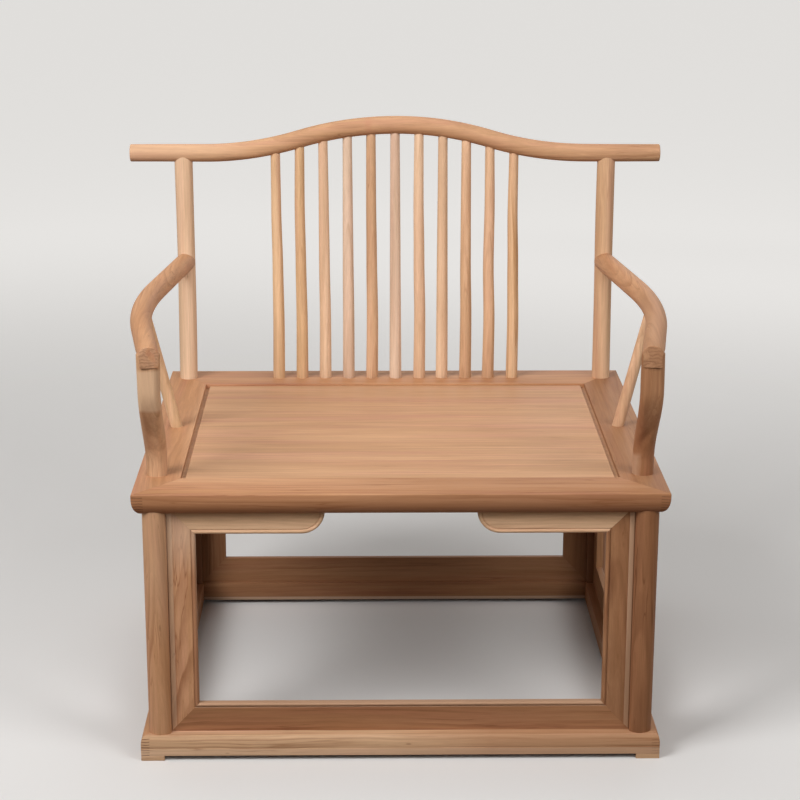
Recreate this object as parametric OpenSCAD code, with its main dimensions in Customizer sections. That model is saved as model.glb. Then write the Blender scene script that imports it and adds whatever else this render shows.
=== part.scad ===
// Meditation chair: a wide comb-back armchair of unfinished wood, framed with
// mortise and tenon joints on a floor frame. The seat is a mitred frame round a
// sunk panel. Millimetres, +Z up, X to the sitter's left and right, front at -Y.
// The origin is on the floor under the middle of the seat.

/* [Seat] */
// Width of the seat frame, side to side
seat_w = 800; // [740:5:860]
// Depth of the seat frame, front to back
seat_d = 720; // [660:5:780]
// Height of the top of the seat frame above the floor
seat_h = 428; // [400:2:460]
// Thickness of the seat frame
seat_t = 34; // [32:1:40]
// Width of the front rail of the seat frame
front_rail_w = 82; // [76:1:95]
// Width of the back rail of the seat frame
back_rail_w = 93; // [86:1:105]
// Width of each side rail of the seat frame
side_rail_w = 67; // [62:1:78]
// Radius of the upper arris round the seat frame
seat_arris_r = 1.5; // [1:0.5:5]
// How far the seat's edge curves in below
seat_under_in = 19; // [12:1:24]
// Height of that curve above the seat's underside
seat_under_h = 26; // [16:1:28]
// How far the panel lies below the top of the seat frame
panel_drop = 3; // [2:0.5:6]
// Thickness of the seat panel
panel_t = 14; // [12:1:14]
// Shrinkage gap round the raised field of the panel
panel_gap = 1.2; // [0.5:0.1:2.5]
// Width of the open groove at the panel's left and right
panel_groove_w = 7; // [4:0.5:7.5]
// Thickness of the tongue round the panel
panel_tongue_t = 6; // [5:0.5:7]
// Length of the tongue round the panel
panel_tongue_l = 8; // [6:0.5:10]
// Width of each batten under the panel
batten_w = 40; // [30:2:50]
// Distance from the middle of the seat to each batten
batten_x = 130; // [90:5:170]

/* [Floor frame] */
// How much the floor frame stands out past the seat frame on each side
base_margin = -3; // [-4:0.5:6]
// Thickness of the floor frame
base_t = 32; // [28:1:38]
// Width of each rail of the floor frame
base_rail_w = 48; // [46:1:56]
// How far the upper moulding of the floor frame steps in
base_mould_in = 5; // [2:0.5:8]
// Height of the upper moulding of the floor frame
base_mould_h = 15; // [10:1:18]
// Height of the corner feet
foot_h = 8; // [5:1:14]
// Width of the corner feet
foot_w = 36; // [30:1:44]
// Diameter of the dowel that holds each foot
foot_dowel_d = 8; // [6:1:10]
// Diameter of the small blind hole beside each leg
base_hole_d = 3.5; // [2:0.5:4]

/* [Legs] */
// Diameter of the round outer side of the legs
leg_d = 38; // [34:1:42]
// How far the round outer side of the legs is set inward at the top
leg_set_in = 2; // [0.5:0.5:4]
// How much further it leans inward at the foot
leg_lean = 1.2; // [0.4:0.2:3]
// Distance from the seat's side edge to the axis of the legs
leg_in_x = 30; // [28:1:34]
// Distance from the seat's front edge to the axis of the front legs
leg_in_front = 27; // [26:1:32]
// Distance from the seat's back edge to the axis of the rear legs
leg_in_back = 36; // [34:1:40]
// Width of the square tenons on the legs
leg_tenon_w = 16; // [12:1:18]
// Length of the square tenons on the legs
leg_tenon_l = 18; // [12:1:20]

/* [Liners] */
// Thickness of the boards that line the four openings
liner_t = 10; // [9:0.5:16]
// How far the outer face of the liners lies outside the axis of the legs
liner_out = 3; // [0:0.5:5]
// Width of the upright liners beside the legs
stile_w = 43; // [38:1:50]
// Height of the liners that stand on the floor frame
strip_w = 46; // [40:1:54]
// Height of the short aprons under the seat, and radius of their round ends
apron_h = 35; // [28:1:38]
// Distance from the middle of the chair to the aprons' ends, front and back
apron_end_wide = 114; // [80:2:150]
// Distance from the middle to the aprons' ends on the two sides
apron_end_side = 88; // [60:2:120]
// Width of the bead along the edge of the openings
bead_w = 6; // [4:0.5:8]
// How far the bead stands out from the face of the liners
bead_out = 1.5; // [0.5:0.25:3]
// Width and depth of the small groove beside the bead
bead_groove = 1.2; // [0.8:0.1:2]
// Thickness of the tongues on the liners
liner_tongue_t = 6; // [4:0.5:7]
// Length of the tongues on the liners
liner_tongue_l = 5; // [3:0.5:6]

/* [Back] */
// Diameter of the rear posts above the seat
post_d = 31; // [28:0.5:34]
// How far the axis of each rear post lies inward of the leg below it
post_in_x = 3.5; // [1:0.5:5]
// How far the axis of each rear post lies forward of the leg below it
post_in_y = 8.5; // [5:0.5:9.5]
// Height of the top rail's axis above the seat at its straight ends
rail_h = 402; // [360:2:440]
// Diameter of the top rail
rail_d = 31; // [28:0.5:34]
// How far the top rail runs past the axes of the rear posts
rail_over = 92; // [70:1:120]
// How far the hump of the top rail rises
rail_rise = 48.5; // [30:0.5:60]
// Distance from the middle to where the top rail becomes straight
rail_run = 330; // [270:2:340]
// How far the top of the posts laps up the face of the top rail
post_lap = 8.5; // [5:0.5:11]
// Number of spindles
spindle_n = 11; // [7:2:11]
// Distance between the axes of the spindles
spindle_pitch = 41.4; // [34:0.1:46]
// Diameter of the spindles at the top
spindle_top_d = 16.2; // [14:0.1:18]
// Diameter of the spindles at the foot
spindle_foot_d = 21; // [18:0.1:24]
// Diameter of the tenons on both ends of the spindles
spindle_tenon_d = 10; // [8:0.5:12]
// Length of the tenons on both ends of the spindles
spindle_tenon_l = 14; // [8:1:16]

/* [Arms] */
// Height of the arms' axis above the seat
arm_h = 199; // [170:1:230]
// Diameter of the arms
arm_d = 34; // [30:0.5:37]
// How far each arm bows out past the rear post
arm_bow = 41.5; // [20:0.5:60]
// Radius of the bow
arm_bow_r = 825; // [600:5:1000]
// Where the arm bows out furthest, measured back from the middle of the seat
arm_bow_y = -23; // [-45:1:30]
// How much higher the arm is at the back post than at its front end
arm_rise = 11.5; // [0:0.5:20]
// Distance from the seat's front edge to the front end of the arms
arm_end_in = 38; // [30:1:50]
// Diameter of the front posts at the foot
neck_foot_d = 32.5; // [28:0.5:35]
// Diameter of the front posts at the top
neck_top_d = 35.5; // [34.5:0.5:38]
// Distance from the seat's side edge to the foot of the front posts
neck_in_x = 30; // [26:0.5:34]
// Distance from the seat's front edge to the foot of the front posts
neck_in_y = 103; // [90:1:120]
// How far the front posts swing forward from foot to top
neck_forward = 48; // [20:1:50]
// How far the front posts swing out from foot to top
neck_out = 3.5; // [0:0.5:6]
// Where in its height each front post starts to swing, as a share
neck_swing_from = 0.1; // [0:0.02:0.3]
// Where in its height each front post has swung out fully, as a share
neck_swing_to = 0.72; // [0.6:0.02:0.8]
// How far the two horns of each front post reach above the arm's axis
neck_horn = 3; // [0:0.5:6]
// Width of the tongue on the arm's front end, between the horns
arm_tongue_w = 28; // [22:0.5:30]
// Diameter of the side braces at the foot
brace_foot_d = 20; // [16:0.5:24]
// Diameter of the side braces at the top
brace_top_d = 18; // [14:0.5:20]
// Distance from the seat's side edge to the foot of the side braces
brace_in_x = 38; // [34:0.5:42]
// Where the side braces stand, measured back from the middle of the seat
brace_y = 4; // [-30:1:40]

/* [Joints] */
// Gap left round every tenon and tongue
fit_gap = 0.2; // [0.1:0.05:0.4]
// Diameter of the round tenons of the posts, arms and front posts
round_tenon_d = 15; // [12:0.5:16]
// Length of the round tenons of the posts, arms and front posts
round_tenon_l = 18; // [12:1:18]
// Length of the corner tenons of the seat frame
corner_tenon_l = 18; // [12:1:20]
// Width of the corner tenons of the seat frame
corner_tenon_w = 15; // [10:1:16]

/* [Hidden] */
$fn = 64;

// Overlap that lets a cut run clear past a face
cut = 1;
// Each stretch of a bent bar is this much slimmer than the one that it runs into
slimmer = 0.2;
// Colours of the wood, which varies from piece to piece
wood_pale = [0.84, 0.68, 0.52];
wood_warm = [0.80, 0.60, 0.45];
wood_deep = [0.74, 0.54, 0.40];

// Heights of the main levels
seat_under = seat_h - seat_t;
base_top = foot_h + base_t;
panel_top = seat_h - panel_drop;
tongue_top = panel_top - 4;
rail_z = seat_h + rail_h;
arm_z = seat_h + arm_h;

// Axes of the legs, posts, front posts and braces
leg_x = seat_w/2 - leg_in_x;
leg_front_y = -seat_d/2 + leg_in_front;
leg_back_y = seat_d/2 - leg_in_back;
post_x = leg_x - post_in_x;
post_y = leg_back_y - post_in_y;
rail_len = 2*(post_x + rail_over);
neck_x = seat_w/2 - neck_in_x;
neck_y = -seat_d/2 + neck_in_y;
brace_x = seat_w/2 - brace_in_x;

// Outline of the floor frame
base_w = seat_w + 2*base_margin;
base_d = seat_d + 2*base_margin;

// The openings between the legs
function is_wide(side) = side == "front" || side == "back";
function half_span(side) = is_wide(side) ? leg_x : (leg_back_y - leg_front_y)/2;
function apron_end(side) = is_wide(side) ? apron_end_wide : apron_end_side;
open_bottom = base_top + strip_w;
open_top = seat_under - apron_h;

// Places a part that is drawn for the front, with its outward face to -Y
module turn_to(side) {
  rotate(side == "front" ? 0 : side == "right" ? 90 : side == "back" ? 180 : -90) children();
}

// The same, with its origin midway between the two legs of that side
module between_legs(side) {
  mid = (leg_back_y + leg_front_y)/2;
  at = side == "front" ? [0, leg_front_y] : side == "back" ? [0, leg_back_y]
     : side == "right" ? [leg_x, mid] : [-leg_x, mid];
  translate([at[0], at[1], 0]) turn_to(side) children();
}

// Draws a part at each of the four corners from its front right corner
module each_corner() {
  for (sx = [-1, 1], sy = [-1, 1]) flipped(sx, sy) children();
}

// Mirrors across X and Y without changing size
module flipped(sx, sy) {
  mirror([sx < 0 ? 1 : 0, 0, 0]) mirror([0, sy > 0 ? 1 : 0, 0]) children();
}

// A box by its lower and upper limits
module box(x, y, z) {
  translate([x[0], y[0], z[0]]) cube([x[1] - x[0], y[1] - y[0], z[1] - z[0]]);
}

// Points along an arc
function arc(cx, cy, r, a0, a1, n = 12) =
  [for (i = [0:n]) let (a = a0 + (a1 - a0)*i/n) [cx + r*cos(a), cy + r*sin(a)]];

// A bar along X whose section is drawn as [inward, up] from the outer edge
module edge_bar(len, half) {
  translate([-len/2, -half, 0]) rotate([90, 0, 90]) linear_extrude(len) children();
}

// Plan of a mitred rail: outer edge, and the widths of this rail and its neighbours
module mitred_plan(len, half, w, w_left, w_right, z0, z1) {
  translate([0, 0, z0]) linear_extrude(z1 - z0)
    polygon([[-len/2, -half], [len/2, -half], [len/2 - w_right, -half + w], [-len/2 + w_left, -half + w]]);
}

// Square tenon of a leg, downward from z, widened by gap for its mortise
module leg_tenon(z, dir, gap) {
  w = leg_tenon_w + 2*gap;
  l = leg_tenon_l + gap;
  translate([-w/2, -w/2, dir > 0 ? z - cut : z - l]) cube([w, w, l + cut]);
}

// Floor frame

module base_section(w) {
  polygon(concat(
    [[0, foot_h], [w, foot_h], [w, base_top], [base_mould_in, base_top]],
    [for (i = [1:8]) let (a = 90*i/8)
      [base_mould_in*(1 - sin(a)), base_top - base_mould_h*(1 - cos(a))]]
  ));
}

// Tenon at a corner of the floor frame, drawn for the front right corner
module base_corner_tenon(gap) {
  b = base_rail_w - 15;
  x1 = base_w/2 - b + 6;
  box([x1 - 14, base_w/2 - 12 + gap], [-base_d/2 + b - 7 - gap, -base_d/2 + b + 7 + gap],
      [foot_h + 3 - gap, foot_h + 10 + gap]);
}

module foot_dowel_at(gap, l) {
  translate([base_w/2 - foot_w/2, -base_d/2 + foot_w/2, 0])
    cylinder(d = foot_dowel_d + 2*gap, h = l + gap);
}

// Small blind hole in the side rail, just outside the foot of a leg
module base_hole(sx, y) {
  translate([sx*(leg_x + leg_d/2 - 2), y - 3.5, base_top - 7])
    cylinder(d = base_hole_d, h = 7 + cut, $fn = 24);
}

module base_rail(side) {
  wide = is_wide(side);
  len = wide ? base_w : base_d;
  half = wide ? base_d/2 : base_w/2;
  color(wide ? wood_warm : wood_deep) difference() {
    union() {
      turn_to(side) intersection() {
        edge_bar(len, half) base_section(base_rail_w);
        mitred_plan(len, half, base_rail_w, base_rail_w, base_rail_w, foot_h, base_top);
      }
      if (wide) for (sx = [-1, 1]) flipped(sx, side == "back" ? 1 : -1) base_corner_tenon(0);
    }
    if (!wide) for (sy = [-1, 1]) flipped(side == "left" ? -1 : 1, sy) base_corner_tenon(fit_gap);
    leg_feet_mortises();
    each_corner() foot_dowel_at(fit_gap, foot_h + 9);
    if (!wide) for (sx = [-1, 1]) {
      base_hole(sx, leg_front_y);
      base_hole(sx, leg_back_y + 7);
    }
    between_legs(side) strip_tongue(fit_gap);
  }
}

module leg_feet_mortises() {
  for (sx = [-1, 1], y = [leg_front_y, leg_back_y])
    translate([sx*leg_x, y, 0]) leg_tenon(base_top + cut, -1, fit_gap);
}

module foot(sx, sy) {
  color(wood_deep) flipped(sx, sy) {
    box([base_w/2 - foot_w, base_w/2], [-base_d/2, -base_d/2 + foot_w], [0, foot_h]);
    foot_dowel_at(0, foot_h + 9);
  }
}

// Legs and rear posts

// A leg for the front right corner: square inside, round outside and leaning inward
module leg_shaft() {
  h = seat_under - base_top;
  box([-leg_d/2, 0], [0, leg_d/2], [base_top, seat_under]);
  intersection() {
    translate([-leg_set_in - leg_lean, 0, base_top]) rotate([0, atan(leg_lean/h), 0])
      translate([0, 0, -10]) cylinder(d = leg_d - 2*slimmer, h = h + 20);
    box([-leg_d/2, leg_d], [-leg_d, leg_d], [base_top, seat_under]);
  }
}

// Grooves for the liners' tongues, from the floor frame to the seat
module leg_grooves() {
  v0 = liner_mid - liner_tongue_t/2 - fit_gap;
  v1 = liner_mid + liner_tongue_t/2 + fit_gap;
  u0 = leg_d/2 - liner_tongue_l - fit_gap;
  box([-leg_d/2 - cut, -u0], [v0, v1], [base_top - cut, seat_under + cut]);
  box([-v1, -v0], [u0, leg_d/2 + cut], [base_top - cut, seat_under + cut]);
}

module leg_front(sx) {
  color(wood_warm) mirror([sx < 0 ? 1 : 0, 0, 0]) translate([leg_x, leg_front_y, 0]) {
    difference() {
      leg_shaft();
      leg_grooves();
    }
    leg_tenon(base_top, -1, 0);
    leg_tenon(seat_under, 1, 0);
  }
}

module rear_post(sx) {
  color(wood_pale) mirror([sx < 0 ? 1 : 0, 0, 0]) difference() {
    union() {
      translate([leg_x, leg_back_y, 0]) {
        difference() {
          mirror([0, 1, 0]) leg_shaft();
          mirror([0, 1, 0]) leg_grooves();
        }
        leg_tenon(base_top, -1, 0);
      }
      difference() {
        translate([post_x, post_y, seat_under - cut])
          cylinder(d = post_d, h = rail_z - rail_d/2 + post_lap - seat_under + cut);
        rail_end(rail_d + 2*fit_gap, rail_run);
      }
      post_tenon(0);
    }
    arm_tenon(fit_gap);
  }
}

// Round tenon on top of a rear post, drawn for the right side
module post_tenon(gap) {
  translate([post_x, post_y, rail_z - rail_d/2 - 8])
    cylinder(d = round_tenon_d + 2*gap, h = round_tenon_l + 8 + gap);
}

// Liners of the four openings

liner_mid = liner_t/2 - liner_out;

// Section of a liner: [from the opening's edge, outward], face at liner_t
module liner_section(w) {
  r = bead_w/2;
  square([w, liner_t - bead_groove]);
  translate([bead_w + bead_groove, 0]) square([w - bead_w - bead_groove, liner_t]);
  square([bead_w, liner_t + bead_out - r]);
  translate([r, liner_t + bead_out - r]) circle(r = r, $fn = 32);
}

// Turns an upright prism over the XZ plane, its face towards -Y
module front_prism(t0, t1) {
  translate([0, -t0, 0]) rotate([90, 0, 0]) linear_extrude(t1 - t0) children();
}

liner_back = liner_out - liner_t;

// A liner bar along X, its opening edge at z, rising away from the opening if up > 0
module liner_bar(x0, x1, z, w, up) {
  translate([x0, -liner_back, z]) mirror([0, 0, up > 0 ? 0 : 1])
    rotate([90, 0, 90]) linear_extrude(x1 - x0) mirror([1, 0]) rotate(90) mirror([0, 1])
      liner_section(w);
}

module stile_bar(hs, z0, z1) {
  translate([hs - leg_d/2 - stile_w, -liner_back, z0]) linear_extrude(z1 - z0)
    mirror([0, 1]) liner_section(stile_w);
}

// Upright liner on the local right side of an opening
module stile_right(side) {
  hs = half_span(side);
  u1 = hs - leg_d/2;
  u0 = u1 - stile_w;
  intersection() {
    stile_bar(hs, base_top, seat_under);
    front_prism(liner_back - cut, liner_out + bead_out + cut) polygon([
      [u1, base_top], [u0, open_bottom], [u0, open_top],
      [u0 + apron_h, seat_under], [u1, seat_under]
    ]);
  }
  stile_tongue(side, 0);
}

module stile_tongue(side, gap) {
  u1 = half_span(side) - leg_d/2;
  box([u1 - cut, u1 + liner_tongue_l + gap],
      [-liner_tongue_t/2 + liner_mid - gap, liner_tongue_t/2 + liner_mid + gap],
      [base_top + 6 - gap, seat_under - 2 + gap]);
}

module strip_tongue(gap) {
  hs = leg_d/2 + 12;
  box([-strip_half + hs - gap, strip_half - hs + gap],
      [-liner_tongue_t/2 + liner_mid - gap, liner_tongue_t/2 + liner_mid + gap],
      [base_top - liner_tongue_l - gap, base_top + cut]);
}

strip_half = min(half_span("front"), half_span("left"));

// Liner along the floor frame
module strip(side) {
  hs = half_span(side);
  u1 = hs - leg_d/2;
  u0 = u1 - stile_w;
  color(is_wide(side) ? wood_warm : wood_deep) between_legs(side) {
    intersection() {
      liner_bar(-u1, u1, open_bottom, strip_w, -1);
      front_prism(liner_back - cut, liner_out + bead_out + cut)
        polygon([[-u1, base_top], [u1, base_top], [u0, open_bottom], [-u0, open_bottom]]);
    }
    strip_tongue(0);
  }
}

// Short apron on the local right side, with its round inner end
module apron_right(side) {
  u0 = half_span(side) - leg_d/2 - stile_w;
  e = apron_end(side) + apron_h;
  intersection() {
    liner_bar(e, u0 + apron_h, open_top, apron_h, 1);
    front_prism(liner_back - cut, liner_out + bead_out + cut)
      polygon([[e, open_top], [u0, open_top], [u0 + apron_h, seat_under], [e, seat_under]]);
  }
  translate([e, -liner_back, seat_under]) rotate([90, 0, 0]) rotate([0, 0, 180])
    rotate_extrude(angle = 90) translate([apron_h, 0]) mirror([1, 0]) liner_section(apron_h);
  apron_tongue(side, 0);
}

module apron_tongue(side, gap) {
  u0 = half_span(side) - leg_d/2 - stile_w;
  e = apron_end(side) + 8;
  box([e - gap, u0 + apron_h - 6 + gap],
      [-liner_tongue_t/2 + liner_mid - gap, liner_tongue_t/2 + liner_mid + gap],
      [seat_under - cut, seat_under + liner_tongue_l + gap]);
}

// Which local side a named half lies on: +1 local right, -1 local left
module on_side(side, sx) {
  between_legs(side) mirror([sx < 0 ? 1 : 0, 0, 0]) children();
}

module stile(side, sx) {
  color(sx*(side == "back" || side == "left" ? -1 : 1) < 0 ? wood_warm : wood_deep)
    on_side(side, sx) stile_right(side);
}

module apron(side, sx) {
  color(wood_pale) on_side(side, sx) apron_right(side);
}

// Seat frame and panel

module seat_section(w) {
  polygon(concat(
    [[w, seat_under], [w, seat_h]],
    arc(seat_arris_r, seat_h - seat_arris_r, seat_arris_r, 90, 180, 6),
    [for (a = [180:7.5:270])
      [seat_under_in*(1 + cos(a)), seat_under + seat_under_h*(1 + sin(a))]]
  ));
}

// The opening in the seat frame
inner_x = seat_w/2 - side_rail_w;
inner_front = -seat_d/2 + front_rail_w;
inner_back = seat_d/2 - back_rail_w;

// Corner tenon of the seat frame, front right; b is its distance from the edge
module seat_corner_tenon(rail_w, gap) {
  b = rail_w - 20;
  a = b*side_rail_w/rail_w;
  box([seat_w/2 - a - 10, seat_w/2 - a + corner_tenon_l + gap],
      [-seat_d/2 + b - corner_tenon_w/2 - gap, -seat_d/2 + b + corner_tenon_w/2 + gap],
      [seat_under + 3 - gap, seat_under + 13 + gap]);
}

module panel_groove() {
  g = panel_tongue_l + 1;
  box([-inner_x - g, inner_x + g], [inner_front - g, inner_back + g],
      [tongue_top - panel_tongue_t - fit_gap, tongue_top + fit_gap]);
}

module batten(sx) {
  color(wood_deep) translate([sx*batten_x, 0, 0]) {
    box([-batten_w/2, batten_w/2], [inner_front, inner_back], [batten_z0, batten_z1]);
    batten_tenon(0);
  }
}

batten_z1 = panel_top - panel_t;
batten_z0 = seat_under + 2;

module batten_tenon(gap) {
  w = batten_w - 14 + 2*gap;
  for (y = [inner_front, inner_back]) translate([0, y, (batten_z0 + batten_z1)/2])
    cube([w, 24 + 2*gap, batten_z1 - batten_z0 - 4 + 2*gap], center = true);
}

module seat_rail(side) {
  wide = is_wide(side);
  len = wide ? seat_w : seat_d;
  half = wide ? seat_d/2 : seat_w/2;
  w = side == "front" ? front_rail_w : side == "back" ? back_rail_w : side_rail_w;
  w_left = wide ? side_rail_w : side == "left" ? back_rail_w : front_rail_w;
  w_right = wide ? side_rail_w : side == "left" ? front_rail_w : back_rail_w;
  color(wide ? wood_warm : wood_deep) difference() {
    union() {
      turn_to(side) intersection() {
        edge_bar(len, half) seat_section(w);
        mitred_plan(len, half, w, w_left, w_right, seat_under, seat_h);
      }
      if (wide) for (sx = [-1, 1]) flipped(sx, side == "back" ? 1 : -1) seat_corner_tenon(w, 0);
    }
    if (!wide) {
      flipped(side == "left" ? -1 : 1, -1) seat_corner_tenon(front_rail_w, fit_gap);
      flipped(side == "left" ? -1 : 1, 1) seat_corner_tenon(back_rail_w, fit_gap);
      both_sides() neck_tenon(fit_gap);
      both_sides() brace_tenon_foot(fit_gap);
    }
    panel_groove();
    for (sx = [-1, 1]) {
      translate([sx*leg_x, leg_front_y, 0]) leg_tenon(seat_under, 1, fit_gap);
      translate([sx*post_x, post_y, seat_under - cut])
        cylinder(d = post_d + 2*fit_gap, h = seat_t + 2*cut);
      on_side(side, sx) apron_tongue(side, fit_gap);
    }
    if (wide) for (sx = [-1, 1]) translate([sx*batten_x, 0, 0]) batten_tenon(fit_gap);
    if (side == "back") for (i = [0:spindle_n - 1]) spindle_foot_tenon(i, fit_gap);
  }
}

module both_sides() {
  children();
  mirror([1, 0, 0]) children();
}

module seat_panel() {
  color(wood_pale) {
    box([-inner_x + panel_groove_w, inner_x - panel_groove_w],
        [inner_front + panel_gap, inner_back - panel_gap], [panel_top - panel_t, panel_top]);
    box([-inner_x - panel_tongue_l, inner_x + panel_tongue_l],
        [inner_front - panel_tongue_l, inner_back + panel_tongue_l],
        [tongue_top - panel_tongue_t, tongue_top]);
  }
}

// Top rail and spindles

// Radius and angle of the equal arcs that make the hump
hump_r = (rail_run*rail_run + rail_rise*rail_rise)/(4*rail_rise);
hump_a = asin(rail_run/(2*hump_r));

// Height of the top rail's axis at x
function rail_axis(x) = let (a = abs(x))
  a > rail_run ? rail_z
  : a > rail_run/2 ? rail_z + hump_r - sqrt(hump_r*hump_r - pow(rail_run - a, 2))
  : rail_z + rail_rise - hump_r + sqrt(hump_r*hump_r - a*a);

// A stretch of the hump: an arc in the XZ plane about [cx, cz]
module hump_arc(cx, cz, a0, a1, d) {
  translate([cx, post_y, cz]) rotate([90, 0, 0]) rotate(a0)
    rotate_extrude(angle = a1 - a0, $fn = 200) translate([hump_r, 0]) circle(d = d, $fn = 48);
}

// The straight right end of the top rail, from x0 on
module rail_end(d, x0) {
  translate([x0, post_y, rail_z]) rotate([0, 90, 0]) cylinder(d = d, h = rail_len/2 - x0);
}

module rail_bar(d) {
  both_sides() {
    rail_end(d - 2*slimmer, rail_run - 2);
    hump_arc(rail_run, rail_z + hump_r, 269.8 - hump_a, 270, d - slimmer);
  }
  hump_arc(0, rail_z + rail_rise - hump_r, 90 - hump_a, 90 + hump_a, d);
}

module top_rail() {
  color(wood_warm) difference() {
    rail_bar(rail_d);
    both_sides() post_tenon(fit_gap);
    for (i = [0:spindle_n - 1]) spindle_top_tenon(i, fit_gap);
  }
}

function spindle_x(i) = (i - (spindle_n - 1)/2)*spindle_pitch;

// Slope of the top rail at x, as a rotation about Y
function rail_slope(x) = let (a = abs(x))
  (x < 0 ? -1 : 1)*(a > rail_run ? 0 : a > rail_run/2 ? asin((rail_run - a)/hump_r) : asin(a/hump_r));

module spindle_foot_tenon(i, gap) {
  translate([spindle_x(i), post_y, seat_h - spindle_tenon_l - gap])
    cylinder(d = spindle_tenon_d + 2*gap, h = spindle_tenon_l + cut + gap, $fn = 32);
}

module spindle_top_tenon(i, gap) {
  z = rail_axis(spindle_x(i)) - rail_d/2;
  translate([spindle_x(i), post_y, z - 6])
    cylinder(d = spindle_tenon_d + 2*gap, h = 6 + spindle_tenon_l + gap, $fn = 32);
}

module spindle(i) {
  z = rail_axis(spindle_x(i)) - rail_d/2;
  color(i % 3 == 0 ? wood_pale : i % 3 == 1 ? wood_warm : wood_deep) {
    difference() {
      translate([spindle_x(i), post_y, seat_h])
        cylinder(d1 = spindle_foot_d, d2 = spindle_top_d, h = z + 5 - seat_h);
      translate([spindle_x(i), post_y, z + rail_d/2]) rotate([0, 90 + rail_slope(spindle_x(i)), 0])
        cylinder(d = rail_d + 2*fit_gap, h = 3*spindle_foot_d, center = true);
    }
    spindle_foot_tenon(i, 0);
    spindle_top_tenon(i, 0);
  }
}

// Arms, front posts and braces, all drawn for the right side

// Plan of the arm: an arc with a straight stretch to the post and one to the front
arm_cx = post_x + arm_bow - arm_bow_r;
arm_end_y = -seat_d/2 + arm_end_in;
arm_end_x = neck_x + 0.5;
function reach(x, y) = norm([x - arm_cx, y - arm_bow_y]);
rear_a = atan2(post_y - arm_bow_y, post_x - arm_cx) - acos(arm_bow_r/reach(post_x, post_y));
front_a = atan2(arm_end_y - arm_bow_y, arm_end_x - arm_cx) + acos(arm_bow_r/reach(arm_end_x, arm_end_y));
function on_bow(a) = [arm_cx + arm_bow_r*cos(a), arm_bow_y + arm_bow_r*sin(a)];

// The arm is flat and rises evenly to the back post
arm_tilt = atan(arm_rise/(post_y - arm_end_y));
function arm_height(y) = arm_z + arm_rise*(y - arm_end_y)/(post_y - arm_end_y);
module tilted() {
  translate([0, arm_end_y, arm_z]) rotate([arm_tilt, 0, 0]) translate([0, -arm_end_y, -arm_z]) children();
}

// A straight stretch of the arm from one plan point to another, started early
module arm_stretch(p, q, d, early = 0) {
  v = q - p;
  translate([p[0], p[1], arm_z]) rotate([0, 0, atan2(v[1], v[0])]) translate([-early, 0, 0])
    rotate([0, 90, 0]) cylinder(d = d, h = norm(v) + early);
}

module arm_bar(d) {
  tilted() {
    arm_stretch(on_bow(rear_a), [post_x, post_y], d - slimmer, 2);
    arm_stretch(on_bow(front_a), [arm_end_x, arm_end_y], d - slimmer, 2);
    translate([arm_cx, arm_bow_y, arm_z]) rotate(front_a)
      rotate_extrude(angle = rear_a - front_a, $fn = 240)
        translate([arm_bow_r, 0]) circle(d = d, $fn = 48);
  }
}

// Round tenon of the arm in the rear post
module arm_tenon(gap) {
  p = [post_x, post_y];
  q = on_bow(rear_a);
  v = (q - p)/norm(q - p);
  tilted() arm_stretch(p + v*(post_d/2 - 11 - gap), p + v*(post_d/2 + 8), round_tenon_d + 2*gap);
}

module arm(sx) {
  color(wood_warm) mirror([sx < 0 ? 1 : 0, 0, 0]) {
    difference() {
      arm_bar(arm_d);
      translate([post_x, post_y, seat_h]) cylinder(d = post_d + 2*fit_gap, h = rail_h);
      box([post_x - arm_d, post_x + arm_d], [post_y - 6, post_y + arm_d], [seat_h, rail_z]);
      difference() {
        neck_head(fit_gap);
        tongue_slab(0);
      }
      neck_top_tenon(fit_gap);
      brace_top_tenon(fit_gap);
    }
    arm_tenon(0);
  }
}

// A bar that rises through oval rings at [x, y, z, width, depth]
module rising_bar(rings, sides) {
  n = len(rings);
  polyhedron(
    points = [for (r = rings, k = [0:sides - 1]) let (a = 360*k/sides)
      [r[0] + r[3]/2*cos(a), r[1] + r[4]/2*sin(a), r[2]]],
    faces = concat(
      [[for (k = [0:sides - 1]) k]],
      [for (i = [0:n - 2], k = [0:sides - 1], h = [0, 1]) let (j = (k + 1) % sides)
        h == 0 ? [i*sides + k, (i + 1)*sides + k, i*sides + j]
               : [i*sides + j, (i + 1)*sides + k, (i + 1)*sides + j]],
      [[for (k = [sides - 1:-1:0]) (n - 1)*sides + k]]
    )
  );
}

neck_top_x = neck_x + neck_out;
neck_top_y = neck_y - neck_forward;
neck_h = arm_z + neck_horn - seat_h;

module neck_tenon(gap) {
  translate([neck_x, neck_y, seat_h - round_tenon_l - gap])
    cylinder(d = round_tenon_d + 2*gap, h = round_tenon_l + cut + gap);
}

module neck_top_tenon(gap) {
  translate([neck_top_x - 1, neck_top_y, arm_z - arm_d/2 - 10])
    cylinder(d = round_tenon_d - 3 + 2*gap, h = arm_d/2 + 8 + gap, $fn = 48);
}

// How far a front post has swung at height t, from 0 to 1, and how steeply it leans there
neck_span = neck_swing_to - neck_swing_from;
function swing_u(t) = min(1, max(0, (t - neck_swing_from)/neck_span));
function swing(t) = let (u = swing_u(t)) u*u*(3 - 2*u);
function neck_lean(t) = let (u = swing_u(t)) 6*u*(1 - u)*neck_forward/(neck_span*neck_h);

// A ring of the front post, deeper where the post leans so that its thickness stays
function neck_ring(t) = let (d = neck_foot_d + (neck_top_d - neck_foot_d)*t)
  [neck_x + neck_out*swing(t), neck_y - neck_forward*swing(t), seat_h + neck_h*t,
   d, d*sqrt(1 + pow(neck_lean(t), 2))];

// The straight head of a front post, round the end of the arm
module neck_head(gap) {
  translate([neck_top_x, neck_top_y, arm_z - arm_d])
    cylinder(d = neck_top_d + 2*gap, h = arm_d + neck_horn + gap);
}

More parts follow.
